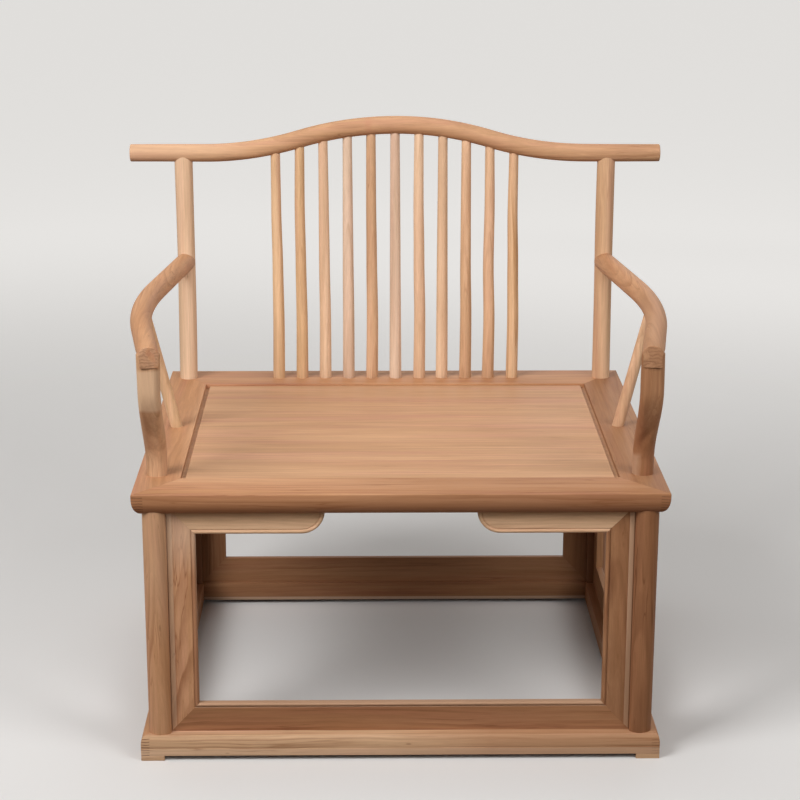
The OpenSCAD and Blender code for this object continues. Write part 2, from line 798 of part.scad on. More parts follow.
// The slab that the arm's tongue is cut from, along the arm's front stretch
module tongue_slab(gap) {
  translate([arm_end_x, arm_end_y, arm_z]) rotate([0, 0, atan2(arm_dir[1], arm_dir[0])])
    box([-2*arm_d, arm_d], [-arm_tongue_w/2 - gap, arm_tongue_w/2 + gap], [-arm_d, arm_d]);
}

// The front post: it leaves the seat upright, swings forward like a goose's neck and
// ends in two horns that hold the tongue of the arm
module front_post(sx) {
  steps = 16;
  color(wood_pale) mirror([sx < 0 ? 1 : 0, 0, 0]) {
    difference() {
      rising_bar([for (i = [0:steps]) neck_ring(i/steps)], 28);
      intersection() {
        tilted() arm_stretch(on_bow(front_a), [arm_end_x, arm_end_y] + 20*arm_dir, arm_d + 2*fit_gap);
        tongue_slab(fit_gap);
      }
    }
    neck_tenon(0);
    neck_top_tenon(0);
  }
}

arm_dir = ([arm_end_x, arm_end_y] - on_bow(front_a))/norm([arm_end_x, arm_end_y] - on_bow(front_a));

// The straight brace leans outwards and meets the arm a little outside its middle
brace_top_x = arm_cx + sqrt(arm_bow_r*arm_bow_r - pow(brace_y - arm_bow_y, 2)) + 3;
brace_top_z = arm_height(brace_y) - 8;
brace_run = [brace_top_x - brace_x, brace_top_z - seat_h];

module brace_tenon_foot(gap) {
  translate([brace_x, brace_y, seat_h - 12 - gap])
    cylinder(d = brace_foot_d/2 + 2*gap, h = 12 + cut + gap, $fn = 32);
}

module brace_top_tenon(gap) {
  translate([brace_top_x, brace_y, arm_height(brace_y) - arm_d/2 - 3])
    cylinder(d = brace_top_d/2 + 2*gap, h = 3 + 14 + gap, $fn = 32);
}

module brace(sx) {
  color(wood_warm) mirror([sx < 0 ? 1 : 0, 0, 0]) {
    difference() {
      translate([brace_x, brace_y, seat_h]) rotate([0, atan2(brace_run[0], brace_run[1]), 0])
        translate([0, 0, -brace_foot_d])
          cylinder(d1 = brace_foot_d, d2 = brace_top_d, h = norm(brace_run) + brace_foot_d);
      translate([brace_x, brace_y, seat_h - brace_foot_d]) cube(2*brace_foot_d, center = true);
      arm_bar(arm_d + 2*fit_gap);
    }
    brace_tenon_foot(0);
    brace_top_tenon(0);
  }
}

base_rail("front");  // base_rail_front
base_rail("back");  // base_rail_back
base_rail("left");  // base_rail_left
base_rail("right");  // base_rail_right
foot(-1, -1);  // foot_front_left
foot(1, -1);  // foot_front_right
foot(-1, 1);  // foot_back_left
foot(1, 1);  // foot_back_right
leg_front(-1);  // leg_front_left
leg_front(1);  // leg_front_right
rear_post(-1);  // rear_post_left
rear_post(1);  // rear_post_right
stile("front", -1);  // stile_front_left
stile("front", 1);  // stile_front_right
strip("front");  // strip_front
apron("front", -1);  // apron_front_left
apron("front", 1);  // apron_front_right
stile("back", 1);  // stile_back_left
stile("back", -1);  // stile_back_right
strip("back");  // strip_back
apron("back", 1);  // apron_back_left
apron("back", -1);  // apron_back_right
stile("left", 1);  // stile_left_front
stile("left", -1);  // stile_left_back
strip("left");  // strip_left
apron("left", 1);  // apron_left_front
apron("left", -1);  // apron_left_back
stile("right", -1);  // stile_right_front
stile("right", 1);  // stile_right_back
strip("right");  // strip_right
apron("right", -1);  // apron_right_front
apron("right", 1);  // apron_right_back
seat_rail("front");  // seat_rail_front
seat_rail("back");  // seat_rail_back
seat_rail("left");  // seat_rail_left
seat_rail("right");  // seat_rail_right
seat_panel();
batten(-1);  // batten_left
batten(1);  // batten_right
spindle(0);  // spindle_1
spindle(1);  // spindle_2
spindle(2);  // spindle_3
spindle(3);  // spindle_4
spindle(4);  // spindle_5
spindle(5);  // spindle_6
spindle(6);  // spindle_7
spindle(7);  // spindle_8
spindle(8);  // spindle_9
spindle(9);  // spindle_10
spindle(10);  // spindle_11
top_rail();
arm(-1);  // arm_left
arm(1);  // arm_right
front_post(-1);  // front_post_left
front_post(1);  // front_post_right
brace(-1);  // brace_left
brace(1);  // brace_right
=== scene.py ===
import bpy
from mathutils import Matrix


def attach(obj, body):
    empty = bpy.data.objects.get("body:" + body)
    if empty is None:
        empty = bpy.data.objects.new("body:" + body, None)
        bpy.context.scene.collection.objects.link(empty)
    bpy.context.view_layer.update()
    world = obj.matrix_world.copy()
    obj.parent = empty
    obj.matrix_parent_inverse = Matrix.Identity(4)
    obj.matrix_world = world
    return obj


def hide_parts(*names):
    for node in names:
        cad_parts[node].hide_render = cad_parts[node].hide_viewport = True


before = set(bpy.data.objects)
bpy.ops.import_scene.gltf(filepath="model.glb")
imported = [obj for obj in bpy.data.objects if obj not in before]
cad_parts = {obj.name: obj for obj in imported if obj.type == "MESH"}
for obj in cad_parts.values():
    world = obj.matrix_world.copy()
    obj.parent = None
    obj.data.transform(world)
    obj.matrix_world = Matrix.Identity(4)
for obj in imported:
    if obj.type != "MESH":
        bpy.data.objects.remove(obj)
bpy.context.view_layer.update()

import math

import bmesh
import bpy
from mathutils import Euler, Matrix, Vector

mm = 0.001

# Sizes shared by the pieces, in mm
seat = {"width": 800, "depth": 720, "top": 428, "under": 394, "front": 82, "back": 93, "side": 67}
legs = {"x": 370, "front": -333, "back": 324, "size": 38, "round": 18.8, "setIn": 2, "lean": 1.2, "floor": 40}
posts = {"x": 366.5, "y": 315.5, "size": 31}


# Grain: a solid figure of rings round a pith line, with sap streaks, fibres and pores

def groupInterface(name, inputs, outputs):
    tree = bpy.data.node_groups.new(name, "ShaderNodeTree")
    for label, kind, value in inputs:
        socket = tree.interface.new_socket(label, in_out="INPUT", socket_type=kind)
        if value is not None:
            socket.default_value = value
    for label, kind in outputs:
        tree.interface.new_socket(label, in_out="OUTPUT", socket_type=kind)
    return tree, tree.nodes.new("NodeGroupInput"), tree.nodes.new("NodeGroupOutput")


def mathNode(tree, operation, first, second=None, third=None, clamp=False):
    node = tree.nodes.new("ShaderNodeMath")
    node.operation = operation
    node.use_clamp = clamp
    for index, value in enumerate((first, second, third)):
        if value is None:
            continue
        if isinstance(value, (int, float)):
            node.inputs[index].default_value = value
        else:
            tree.links.new(value, node.inputs[index])
    return node.outputs[0]


def vectorNode(tree, operation, first, second=None):
    node = tree.nodes.new("ShaderNodeVectorMath")
    node.operation = operation
    for index, value in enumerate((first, second)):
        if value is None:
            continue
        if isinstance(value, (tuple, list)):
            node.inputs[index].default_value = value
        else:
            tree.links.new(value, node.inputs[index])
    return node.outputs["Value" if operation in ("LENGTH", "DOT_PRODUCT") else "Vector"]


def mixColour(tree, factor, first, second, blend="MIX"):
    node = tree.nodes.new("ShaderNodeMix")
    node.data_type = "RGBA"
    node.blend_type = blend
    for socket, value in ((node.inputs[0], factor), (node.inputs[6], first), (node.inputs[7], second)):
        if isinstance(value, (int, float)):
            socket.default_value = value
        elif isinstance(value, (tuple, list)):
            socket.default_value = (*value[:3], 1)
        else:
            tree.links.new(value, socket)
    return node.outputs[2]


def smoothStep(tree, value, low, high):
    node = tree.nodes.new("ShaderNodeMapRange")
    node.interpolation_type = "SMOOTHSTEP"
    tree.links.new(value, node.inputs["Value"])
    node.inputs["From Min"].default_value = low
    node.inputs["From Max"].default_value = high
    return node.outputs["Result"]


def noise(tree, vector, scale=1.0, detail=2.0, roughness=0.5, distortion=0.0):
    node = tree.nodes.new("ShaderNodeTexNoise")
    tree.links.new(vector, node.inputs["Vector"])
    node.inputs["Scale"].default_value = scale
    node.inputs["Detail"].default_value = detail
    node.inputs["Roughness"].default_value = roughness
    node.inputs["Distortion"].default_value = distortion
    return node


def scaled(tree, vector, amount):
    node = tree.nodes.new("ShaderNodeVectorMath")
    node.operation = "SCALE"
    tree.links.new(vector, node.inputs[0])
    if isinstance(amount, (int, float)):
        node.inputs["Scale"].default_value = amount
    else:
        tree.links.new(amount, node.inputs["Scale"])
    return node.outputs["Vector"]


def makeGrainGroup():
    tree, enter, leave = groupInterface("woodGrain", [
        ("Grain", "NodeSocketVector", None),
        ("Heart", "NodeSocketColor", (0.6, 0.35, 0.2, 1)),
        ("Sap", "NodeSocketColor", (0.75, 0.5, 0.33, 1)),
        ("Blush", "NodeSocketColor", (0.6, 0.33, 0.22, 1)),
        ("Late", "NodeSocketColor", (0.42, 0.21, 0.11, 1)),
        ("Ring Width", "NodeSocketFloat", 0.006),
        ("Ring Depth", "NodeSocketFloat", 0.4),
        ("Streaks", "NodeSocketFloat", 0.5),
        ("Wander", "NodeSocketFloat", 0.012),
    ], [("Color", "NodeSocketColor"), ("Roughness", "NodeSocketFloat"), ("Height", "NodeSocketFloat")])
    grain = enter.outputs["Grain"]
    # the trunk isn't straight: the rings wander slowly along the grain
    bend = noise(tree, vectorNode(tree, "MULTIPLY", grain, (2.6, 9.0, 9.0)), detail=3.0)
    offset = vectorNode(tree, "SUBTRACT", bend.outputs["Color"], (0.5, 0.5, 0.5))
    wandered = vectorNode(tree, "ADD", grain, scaled(tree, offset, enter.outputs["Wander"]))
    radius = vectorNode(tree, "LENGTH", vectorNode(tree, "MULTIPLY", wandered, (0.0, 1.0, 1.0)))
    uneven = noise(tree, vectorNode(tree, "MULTIPLY", grain, (1.5, 20.0, 20.0)), detail=2.0)
    phase = mathNode(tree, "MULTIPLY_ADD", uneven.outputs["Fac"], 2.6,
                     mathNode(tree, "DIVIDE", radius, enter.outputs["Ring Width"]))
    across = mathNode(tree, "FRACT", phase)
    late = mathNode(tree, "MULTIPLY", smoothStep(tree, across, 0.2, 0.86),
                    mathNode(tree, "SUBTRACT", 1.0, smoothStep(tree, across, 0.86, 1.0)))
    each = tree.nodes.new("ShaderNodeTexWhiteNoise")
    each.noise_dimensions = "1D"
    tree.links.new(mathNode(tree, "FLOOR", phase), each.inputs["W"])
    strength = mathNode(tree, "MULTIPLY_ADD", mathNode(tree, "POWER", each.outputs["Value"], 2.0), 0.85, 0.15)
    late = mathNode(tree, "MULTIPLY", late, strength)
    # rings fade in and out along the piece
    fade = noise(tree, vectorNode(tree, "MULTIPLY", grain, (5.0, 30.0, 30.0)), detail=2.0)
    late = mathNode(tree, "MULTIPLY", late, smoothStep(tree, fade.outputs["Fac"], 0.3, 0.62))
    late = mathNode(tree, "MULTIPLY", late, enter.outputs["Ring Depth"])
    # a few thin brown lines, where one ring is much darker than its neighbours
    thin = noise(tree, vectorNode(tree, "MULTIPLY", wandered, (2.2, 95.0, 95.0)), detail=2.0, roughness=0.5)
    line = mathNode(tree, "SUBTRACT", 1.0, mathNode(tree, "MULTIPLY", mathNode(tree, "ABSOLUTE",
                    mathNode(tree, "SUBTRACT", thin.outputs["Fac"], 0.5)), 42.0), clamp=True)
    line = mathNode(tree, "MULTIPLY", line, smoothStep(tree, fade.outputs["Fac"], 0.44, 0.66))
    late = mathNode(tree, "MAXIMUM", late, mathNode(tree, "MULTIPLY", line, mathNode(tree, "MULTIPLY",
                    enter.outputs["Ring Depth"], 1.1)), clamp=True)
    # pale streaks of sapwood and rosy ones of heartwood run with the grain
    broad = noise(tree, vectorNode(tree, "MULTIPLY", wandered, (1.6, 24.0, 24.0)), detail=3.0, roughness=0.55)
    fine = noise(tree, vectorNode(tree, "MULTIPLY", wandered, (4.0, 150.0, 150.0)), detail=4.0, roughness=0.65)
    rosy = noise(tree, vectorNode(tree, "MULTIPLY", wandered, (2.4, 38.0, 38.0)), detail=3.0, roughness=0.6)
    sapMask = mathNode(tree, "ADD", smoothStep(tree, broad.outputs["Fac"], 0.38, 0.66),
                       mathNode(tree, "MULTIPLY_ADD", fine.outputs["Fac"], 1.2, -0.6), clamp=True)
    sapMask = mathNode(tree, "MULTIPLY", sapMask, enter.outputs["Streaks"], clamp=True)
    fibre = noise(tree, vectorNode(tree, "MULTIPLY", wandered, (24.0, 700.0, 700.0)), detail=3.0, roughness=0.6)
    pores = noise(tree, vectorNode(tree, "MULTIPLY", grain, (110.0, 1500.0, 1500.0)), detail=1.0)
    poreMask = smoothStep(tree, pores.outputs["Fac"], 0.66, 0.76)
    colour = mixColour(tree, smoothStep(tree, rosy.outputs["Fac"], 0.42, 0.7), enter.outputs["Heart"],
                       enter.outputs["Blush"])
    colour = mixColour(tree, sapMask, colour, enter.outputs["Sap"])
    colour = mixColour(tree, late, colour, enter.outputs["Late"])
    shade = mathNode(tree, "MULTIPLY_ADD", fibre.outputs["Fac"], 0.34, 0.83)
    shade = mathNode(tree, "MULTIPLY", shade, mathNode(tree, "MULTIPLY_ADD", fine.outputs["Fac"], 0.48, 0.76))
    shade = mathNode(tree, "MULTIPLY", shade, mathNode(tree, "MULTIPLY_ADD", broad.outputs["Fac"], 0.36, 0.82))
    shade = mathNode(tree, "SUBTRACT", shade, mathNode(tree, "MULTIPLY", poreMask, 0.1))
    colour = vectorNode(tree, "MULTIPLY", colour, greyVector(tree, shade))
    tree.links.new(colour, leave.inputs["Color"])
    tree.links.new(mathNode(tree, "MULTIPLY_ADD", fibre.outputs["Fac"], 0.14, 0.5), leave.inputs["Roughness"])
    height = mathNode(tree, "SUBTRACT", mathNode(tree, "MULTIPLY", fibre.outputs["Fac"], 0.5),
                      mathNode(tree, "MULTIPLY_ADD", poreMask, 0.5, mathNode(tree, "MULTIPLY", late, 0.35)))
    tree.links.new(height, leave.inputs["Height"])
    return tree


def greyVector(tree, value):
    node = tree.nodes.new("ShaderNodeCombineXYZ")
    for channel in range(3):
        tree.links.new(value, node.inputs[channel])
    return node.outputs[0]


def makeMarksGroup():
    # a box of the piece, soft at its edges, and wavy cuts inside it that run level
    tree, enter, leave = groupInterface("boxMarks", [
        ("Place", "NodeSocketVector", None),
        ("Low", "NodeSocketVector", (0, 0, 0)),
        ("High", "NodeSocketVector", (0, 0, 0)),
        ("Spacing", "NodeSocketFloat", 0.004),
        ("Wave", "NodeSocketFloat", 0.001),
        ("Width", "NodeSocketFloat", 0.3),
        ("Steepness", "NodeSocketFloat", 1600.0),
    ], [("Inside", "NodeSocketFloat"), ("Lines", "NodeSocketFloat")])
    place = enter.outputs["Place"]
    wobble = noise(tree, vectorNode(tree, "MULTIPLY", place, (90.0, 90.0, 60.0)), detail=2.0)
    shift = scaled(tree, vectorNode(tree, "SUBTRACT", wobble.outputs["Color"], (0.5, 0.5, 0.5)), enter.outputs["Wave"])
    moved = vectorNode(tree, "ADD", place, shift)
    inside = None
    for first, second in ((moved, enter.outputs["Low"]), (enter.outputs["High"], moved)):
        parts = tree.nodes.new("ShaderNodeSeparateXYZ")
        tree.links.new(vectorNode(tree, "SUBTRACT", first, second), parts.inputs[0])
        for axis in range(3):
            ramp = mathNode(tree, "MULTIPLY", parts.outputs[axis], enter.outputs["Steepness"], clamp=True)
            inside = ramp if inside is None else mathNode(tree, "MULTIPLY", inside, ramp)
    tree.links.new(inside, leave.inputs["Inside"])
    level = tree.nodes.new("ShaderNodeSeparateXYZ")
    tree.links.new(moved, level.inputs[0])
    stripe = mathNode(tree, "PINGPONG", mathNode(tree, "DIVIDE", level.outputs[2], enter.outputs["Spacing"]), 0.5)
    width = mathNode(tree, "MULTIPLY", enter.outputs["Width"], mathNode(tree, "MULTIPLY_ADD", wobble.outputs["Fac"], 1.4, 0.1))
    lines = mathNode(tree, "SUBTRACT", 1.0, mathNode(tree, "DIVIDE", stripe, width), clamp=True)
    tree.links.new(mathNode(tree, "MULTIPLY", lines, inside), leave.inputs["Lines"])
    return tree


def makeKnotGroup():
    # a small knot: grain flows round it, and its middle is darker
    tree, enter, leave = groupInterface("knot", [
        ("Grain", "NodeSocketVector", None),
        ("Place", "NodeSocketVector", (0, 0, 0)),
        ("Radius", "NodeSocketFloat", 0.004),
    ], [("Grain", "NodeSocketVector"), ("Mask", "NodeSocketFloat")])
    away = vectorNode(tree, "SUBTRACT", enter.outputs["Grain"], enter.outputs["Place"])
    flat = vectorNode(tree, "MULTIPLY", away, (0.3, 1.0, 1.0))
    distance = mathNode(tree, "DIVIDE", vectorNode(tree, "LENGTH", flat), enter.outputs["Radius"])
    push = mathNode(tree, "EXPONENT", mathNode(tree, "MULTIPLY", mathNode(tree, "MULTIPLY", distance, distance), -0.16))
    normal = vectorNode(tree, "NORMALIZE", vectorNode(tree, "MULTIPLY", away, (0.0, 1.0, 1.0)))
    scaleNode = tree.nodes.new("ShaderNodeVectorMath")
    scaleNode.operation = "SCALE"
    tree.links.new(normal, scaleNode.inputs[0])
    tree.links.new(mathNode(tree, "MULTIPLY", mathNode(tree, "MULTIPLY", push, enter.outputs["Radius"]), -1.2),
                   scaleNode.inputs["Scale"])
    tree.links.new(vectorNode(tree, "ADD", enter.outputs["Grain"], scaleNode.outputs["Vector"]), leave.inputs["Grain"])
    tree.links.new(mathNode(tree, "SUBTRACT", 1.0, smoothStep(tree, distance, 0.45, 1.1)), leave.inputs["Mask"])
    return tree


grainGroup = makeGrainGroup()
knotGroup = makeKnotGroup()
marksGroup = makeMarksGroup()

# Rotations that lay the grain's own X axis along a piece
alongTurns = {"x": (0, 0, 0), "y": (0, 0, -math.pi/2), "z": (0, math.pi/2, 0)}

# Tones of the wood: heartwood, its rosy streaks, sapwood and the late-wood line
tones = {
    "pale": {"heart": (0.57, 0.35, 0.2), "blush": (0.57, 0.32, 0.2), "sap": (0.69, 0.46, 0.3),
             "late": (0.36, 0.18, 0.09)},
    "warm": {"heart": (0.5, 0.28, 0.15), "blush": (0.5, 0.255, 0.155), "sap": (0.61, 0.385, 0.235),
             "late": (0.27, 0.12, 0.055)},
    "rosy": {"heart": (0.465, 0.232, 0.112), "blush": (0.445, 0.203, 0.111), "sap": (0.55, 0.315, 0.178),
             "late": (0.24, 0.092, 0.037)},
    "gold": {"heart": (0.63, 0.4, 0.22), "blush": (0.64, 0.385, 0.24), "sap": (0.73, 0.5, 0.32),
             "late": (0.43, 0.23, 0.105)},
    "milk": {"heart": (0.64, 0.42, 0.265), "blush": (0.66, 0.415, 0.275), "sap": (0.71, 0.515, 0.355),
             "late": (0.45, 0.265, 0.14)},
    "cream": {"heart": (0.6, 0.42, 0.295), "blush": (0.62, 0.41, 0.3), "sap": (0.68, 0.52, 0.395),
              "late": (0.43, 0.265, 0.155)},
    # shade and deepShade are darker copies of the wood: painted shade for pieces that stand in shade on the right side,
    # at the back and low at the front
    "shade": {"heart": (0.325, 0.152, 0.071), "blush": (0.31, 0.132, 0.066), "sap": (0.385, 0.205, 0.108),
              "late": (0.155, 0.056, 0.024)},
    "deepShade": {"heart": (0.235, 0.098, 0.042), "blush": (0.23, 0.088, 0.04), "sap": (0.3, 0.143, 0.07),
             "late": (0.11, 0.038, 0.015)},
}


def wood(name, along, pith, tone="warm", ringWidth=6.0, ringDepth=0.5, streaks=0.5, wander=12.0,
         bump=0.25, lean=(0, 0, 0), knots=(), marks=()):
    # lean, in degrees, tips the line of the pith, and so draws the rings out into arches
    material = bpy.data.materials.new(name)
    material.use_nodes = True
    tree = material.node_tree
    shader = tree.nodes["Principled BSDF"]
    coords = tree.nodes.new("ShaderNodeTexCoord")
    centre = tree.nodes.new("ShaderNodeMapping")
    centre.inputs["Location"].default_value = [-value*mm for value in pith]
    tip = Euler([math.radians(angle) for angle in lean])
    centre.inputs["Rotation"].default_value = tip
    turn = tree.nodes.new("ShaderNodeMapping")
    turn.inputs["Rotation"].default_value = alongTurns[along]
    tree.links.new(coords.outputs["Object"], centre.inputs["Vector"])
    tree.links.new(centre.outputs["Vector"], turn.inputs["Vector"])
    grainVector = turn.outputs["Vector"]
    turnMatrix = {"x": Matrix.Identity(3), "y": Matrix.Rotation(-math.pi/2, 3, "Z"),
                  "z": Matrix.Rotation(math.pi/2, 3, "Y")}[along]
    knotMasks = []
    for place, size in knots:
        knot = tree.nodes.new("ShaderNodeGroup")
        knot.node_tree = knotGroup
        tree.links.new(grainVector, knot.inputs["Grain"])
        knot.inputs["Place"].default_value = turnMatrix @ ((tip.to_matrix() @ Vector(place) - Vector(pith))*mm)
        knot.inputs["Radius"].default_value = size*mm
        grainVector = knot.outputs["Grain"]
        knotMasks.append(knot.outputs["Mask"])
    figure = tree.nodes.new("ShaderNodeGroup")
    figure.node_tree = grainGroup
    tree.links.new(grainVector, figure.inputs["Grain"])
    for label in ("Heart", "Blush", "Sap", "Late"):
        figure.inputs[label].default_value = (*tones[tone][label.lower()], 1)
    figure.inputs["Ring Width"].default_value = ringWidth*mm
    figure.inputs["Ring Depth"].default_value = ringDepth
    figure.inputs["Streaks"].default_value = streaks
    figure.inputs["Wander"].default_value = wander*mm
    colour = figure.outputs["Color"]
    roughness = figure.outputs["Roughness"]
    height = figure.outputs["Height"]
    for mask in knotMasks:
        colour = mixColour(tree, mathNode(tree, "MULTIPLY", mask, 0.55), colour, (0.24, 0.11, 0.05))
    # each box tints the wood: some tints are its own colour or saw cuts, others are painted shade or painted light
    for mark in marks:
        box = tree.nodes.new("ShaderNodeGroup")
        box.node_tree = marksGroup
        tree.links.new(coords.outputs["Object"], box.inputs["Place"])
        box.inputs["Low"].default_value = [value*mm for value in mark["low"]]
        box.inputs["High"].default_value = [value*mm for value in mark["high"]]
        box.inputs["Spacing"].default_value = mark.get("spacing", 4)*mm
        box.inputs["Wave"].default_value = mark.get("wave", 0)*mm
        box.inputs["Width"].default_value = mark.get("width", 0.2)
        box.inputs["Steepness"].default_value = 1/(mark.get("soft", 0.6)*mm)
        colour = mixColour(tree, mathNode(tree, "MULTIPLY", box.outputs["Inside"], mark.get("fill", 0.0)),
                           colour, mark.get("tint", (0.4, 0.22, 0.12)))
        colour = mixColour(tree, mathNode(tree, "MULTIPLY", box.outputs["Lines"], mark.get("lines", 0.0)),
                           colour, (0.16, 0.07, 0.035))
        if mark.get("lines"):
            height = mathNode(tree, "MULTIPLY_ADD", box.outputs["Lines"], -3.0, height)
            roughness = mathNode(tree, "MULTIPLY_ADD", box.outputs["Inside"], 0.2, roughness)
    tree.links.new(colour, shader.inputs["Base Color"])
    tree.links.new(roughness, shader.inputs["Roughness"])
    shader.inputs["Specular IOR Level"].default_value = 0.15
    bumpNode = tree.nodes.new("ShaderNodeBump")
    bumpNode.inputs["Strength"].default_value = bump
    bumpNode.inputs["Distance"].default_value = 0.0004
    tree.links.new(height, bumpNode.inputs["Height"])
    tree.links.new(bumpNode.outputs["Normal"], shader.inputs["Normal"])
    return material


print("materials ready")


# Building helpers

def finishPiece(bm, name, material, slotName, *nodes, smooth=20):
    # makes the mesh an object that rides on the frame and stands for CAD nodes
    mesh = bpy.data.meshes.new(name)
    bmesh.ops.recalc_face_normals(bm, faces=bm.faces)
    bm.to_mesh(mesh)
    bm.free()
    mesh.materials.append(material)
    mesh.shade_smooth()
    mesh.set_sharp_from_angle(angle=math.radians(smooth))
    piece = bpy.data.objects.new(name, mesh)
    bpy.context.scene.collection.objects.link(piece)
    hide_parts(*nodes)
    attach(piece, "root")
    return piece


def softenEdges(bm, width, angle=35, segments=2):
    # breaks the sharp arrises as a plane or sandpaper does
    sharp = [edge for edge in bm.edges if edge.is_manifold and edge.calc_face_angle(0) > math.radians(angle)]
    bmesh.ops.bevel(bm, geom=sharp, offset=width*mm, offset_type="OFFSET", segments=segments,
                    affect="EDGES", profile=0.5, clamp_overlap=True, material=-1)


def closeEnds(bm):
    # gives an open end its face
    bmesh.ops.holes_fill(bm, edges=[edge for edge in bm.edges if edge.is_boundary], sides=0)


def profileBar(points, length):
    # a bar along X, middle at 0, whose section is the (y, z) points in mm
    bm = bmesh.new()
    corners = [bm.verts.new((-length/2*mm, y*mm, z*mm)) for y, z in points]
    face = bm.faces.new(corners)
    moved = bmesh.ops.extrude_face_region(bm, geom=[face])["geom"]
    bmesh.ops.translate(bm, verts=[item for item in moved if isinstance(item, bmesh.types.BMVert)],
                        vec=(length*mm, 0, 0))
    bmesh.ops.recalc_face_normals(bm, faces=bm.faces)
    return bm


def cutAway(bm, point, normal):
    # cuts off what lies on the normal's side of a plane, and closes the cut
    bmesh.ops.bisect_plane(bm, geom=bm.verts[:] + bm.edges[:] + bm.faces[:], dist=1e-7,
                           plane_co=Vector(point)*mm, plane_no=Vector(normal).normalized(), clear_outer=True)
    closeEnds(bm)


def arcPoints(centre, radius, start, end, steps):
    # points in mm along an arc, angles in degrees
    return [(centre[0] + radius*math.cos(math.radians(start + (end - start)*i/steps)),
             centre[1] + radius*math.sin(math.radians(start + (end - start)*i/steps)))
            for i in range(steps + 1)]


def sweepRod(stations, sides=32):
    # a round bar through stations of (centre, tangent, side, radius across, radius up), in mm
    bm = bmesh.new()
    unit = [bm.verts.layers.float.new(axis) for axis in ("unitAcross", "unitUp")]
    ring = bmesh.ops.create_circle(bm, cap_ends=True, segments=sides, radius=1)["verts"]
    for vert in ring:
        vert[unit[0]], vert[unit[1]] = vert.co.x, vert.co.y

    def shape(verts, station):
        centre, tangent, side, across, up, *squareness = station
        forward = Vector(tangent).normalized()
        sideways = Vector(side)
        sideways = (sideways - forward*sideways.dot(forward)).normalized()
        upward = sideways.cross(forward)
        power = squareness[0] if squareness else 2.0
        for vert in verts:
            u, v = vert[unit[0]], vert[unit[1]]
            stretch = (abs(u)**power + abs(v)**power)**(-1/power)
            vert.co = (Vector(centre) + sideways*(u*stretch*across) + upward*(v*stretch*up))*mm

    shape(ring, stations[0])
    face = bm.faces[:][0]
    for station in stations[1:]:
        result = bmesh.ops.extrude_discrete_faces(bm, faces=[face])
        face = result["faces"][0]
        shape(face.verts, station)
    closeEnds(bm)
    return bm


def roundedEnds(stations, roundness):
    # adds small end rings, so that the bar's arrises are rounded over
    def cap(station, direction):
        centre, tangent, side, across, up, *rest = station
        forward = Vector(tangent).normalized()*direction
        rings = []
        for step in (0.0, 0.33, 0.66):
            angle = math.pi/2*step
            inset = roundness*(1 - math.sin(angle))
            shift = roundness*(1 - math.cos(angle))
            rings.append((Vector(centre) - forward*shift, tangent, side, across - inset, up - inset, *rest))
        return rings
    start = cap(stations[0], -1)
    end = cap(stations[-1], 1)
    first = stations[0]
    last = stations[-1]
    startCore = (Vector(first[0]) + Vector(first[1]).normalized()*roundness, *first[1:])
    endCore = (Vector(last[0]) - Vector(last[1]).normalized()*roundness, *last[1:])
    return start + [startCore] + stations[1:-1] + [endCore] + end[::-1]


def sideMatrix(side):
    # carries a piece drawn for the front, outward to -Y, to one side of the chair
    middle = (legs["front"] + legs["back"])/2
    at, turn = {"front": ((0, legs["front"]), 0), "back": ((0, legs["back"]), 180),
                "left": ((-legs["x"], middle), -90), "right": ((legs["x"], middle), 90)}[side]
    return Matrix.Translation((at[0]*mm, at[1]*mm, 0)) @ Matrix.Rotation(math.radians(turn), 4, "Z")


def put(bm, matrix):
    bmesh.ops.transform(bm, matrix=matrix, verts=bm.verts)
    if matrix.determinant() < 0:
        bmesh.ops.reverse_faces(bm, faces=bm.faces)


mirrorX = Matrix.Scale(-1, 4, (1, 0, 0))
mirrorY = Matrix.Scale(-1, 4, (0, 1, 0))


# Floor frame: four mitred rails with a rounded, lightly moulded edge, on four feet

floorFrame = {"rail": 48, "foot": 8, "top": 40, "curve": 5, "curveHeight": 15, "footWidth": 36, "line": 0.5,
              "width": 794, "depth": 714, "lineHeight": 20}


def floorRailProfile(half):
    v = floorFrame
    line = v["line"]
    points = [(v["rail"], v["foot"]), (v["rail"], v["top"]), (v["curve"] + 1, v["top"])]
    for step in range(1, 9):
        angle = math.radians(90*step/8)
        points.append((v["curve"]*(1 - math.sin(angle)), v["top"] - v["curveHeight"]*(1 - math.cos(angle))))
    edge = v["lineHeight"]
    points += [(0, edge + line), (line, edge), (0, edge - line), (0, v["foot"])]
    return [(-half + y, z) for y, z in points][::-1]


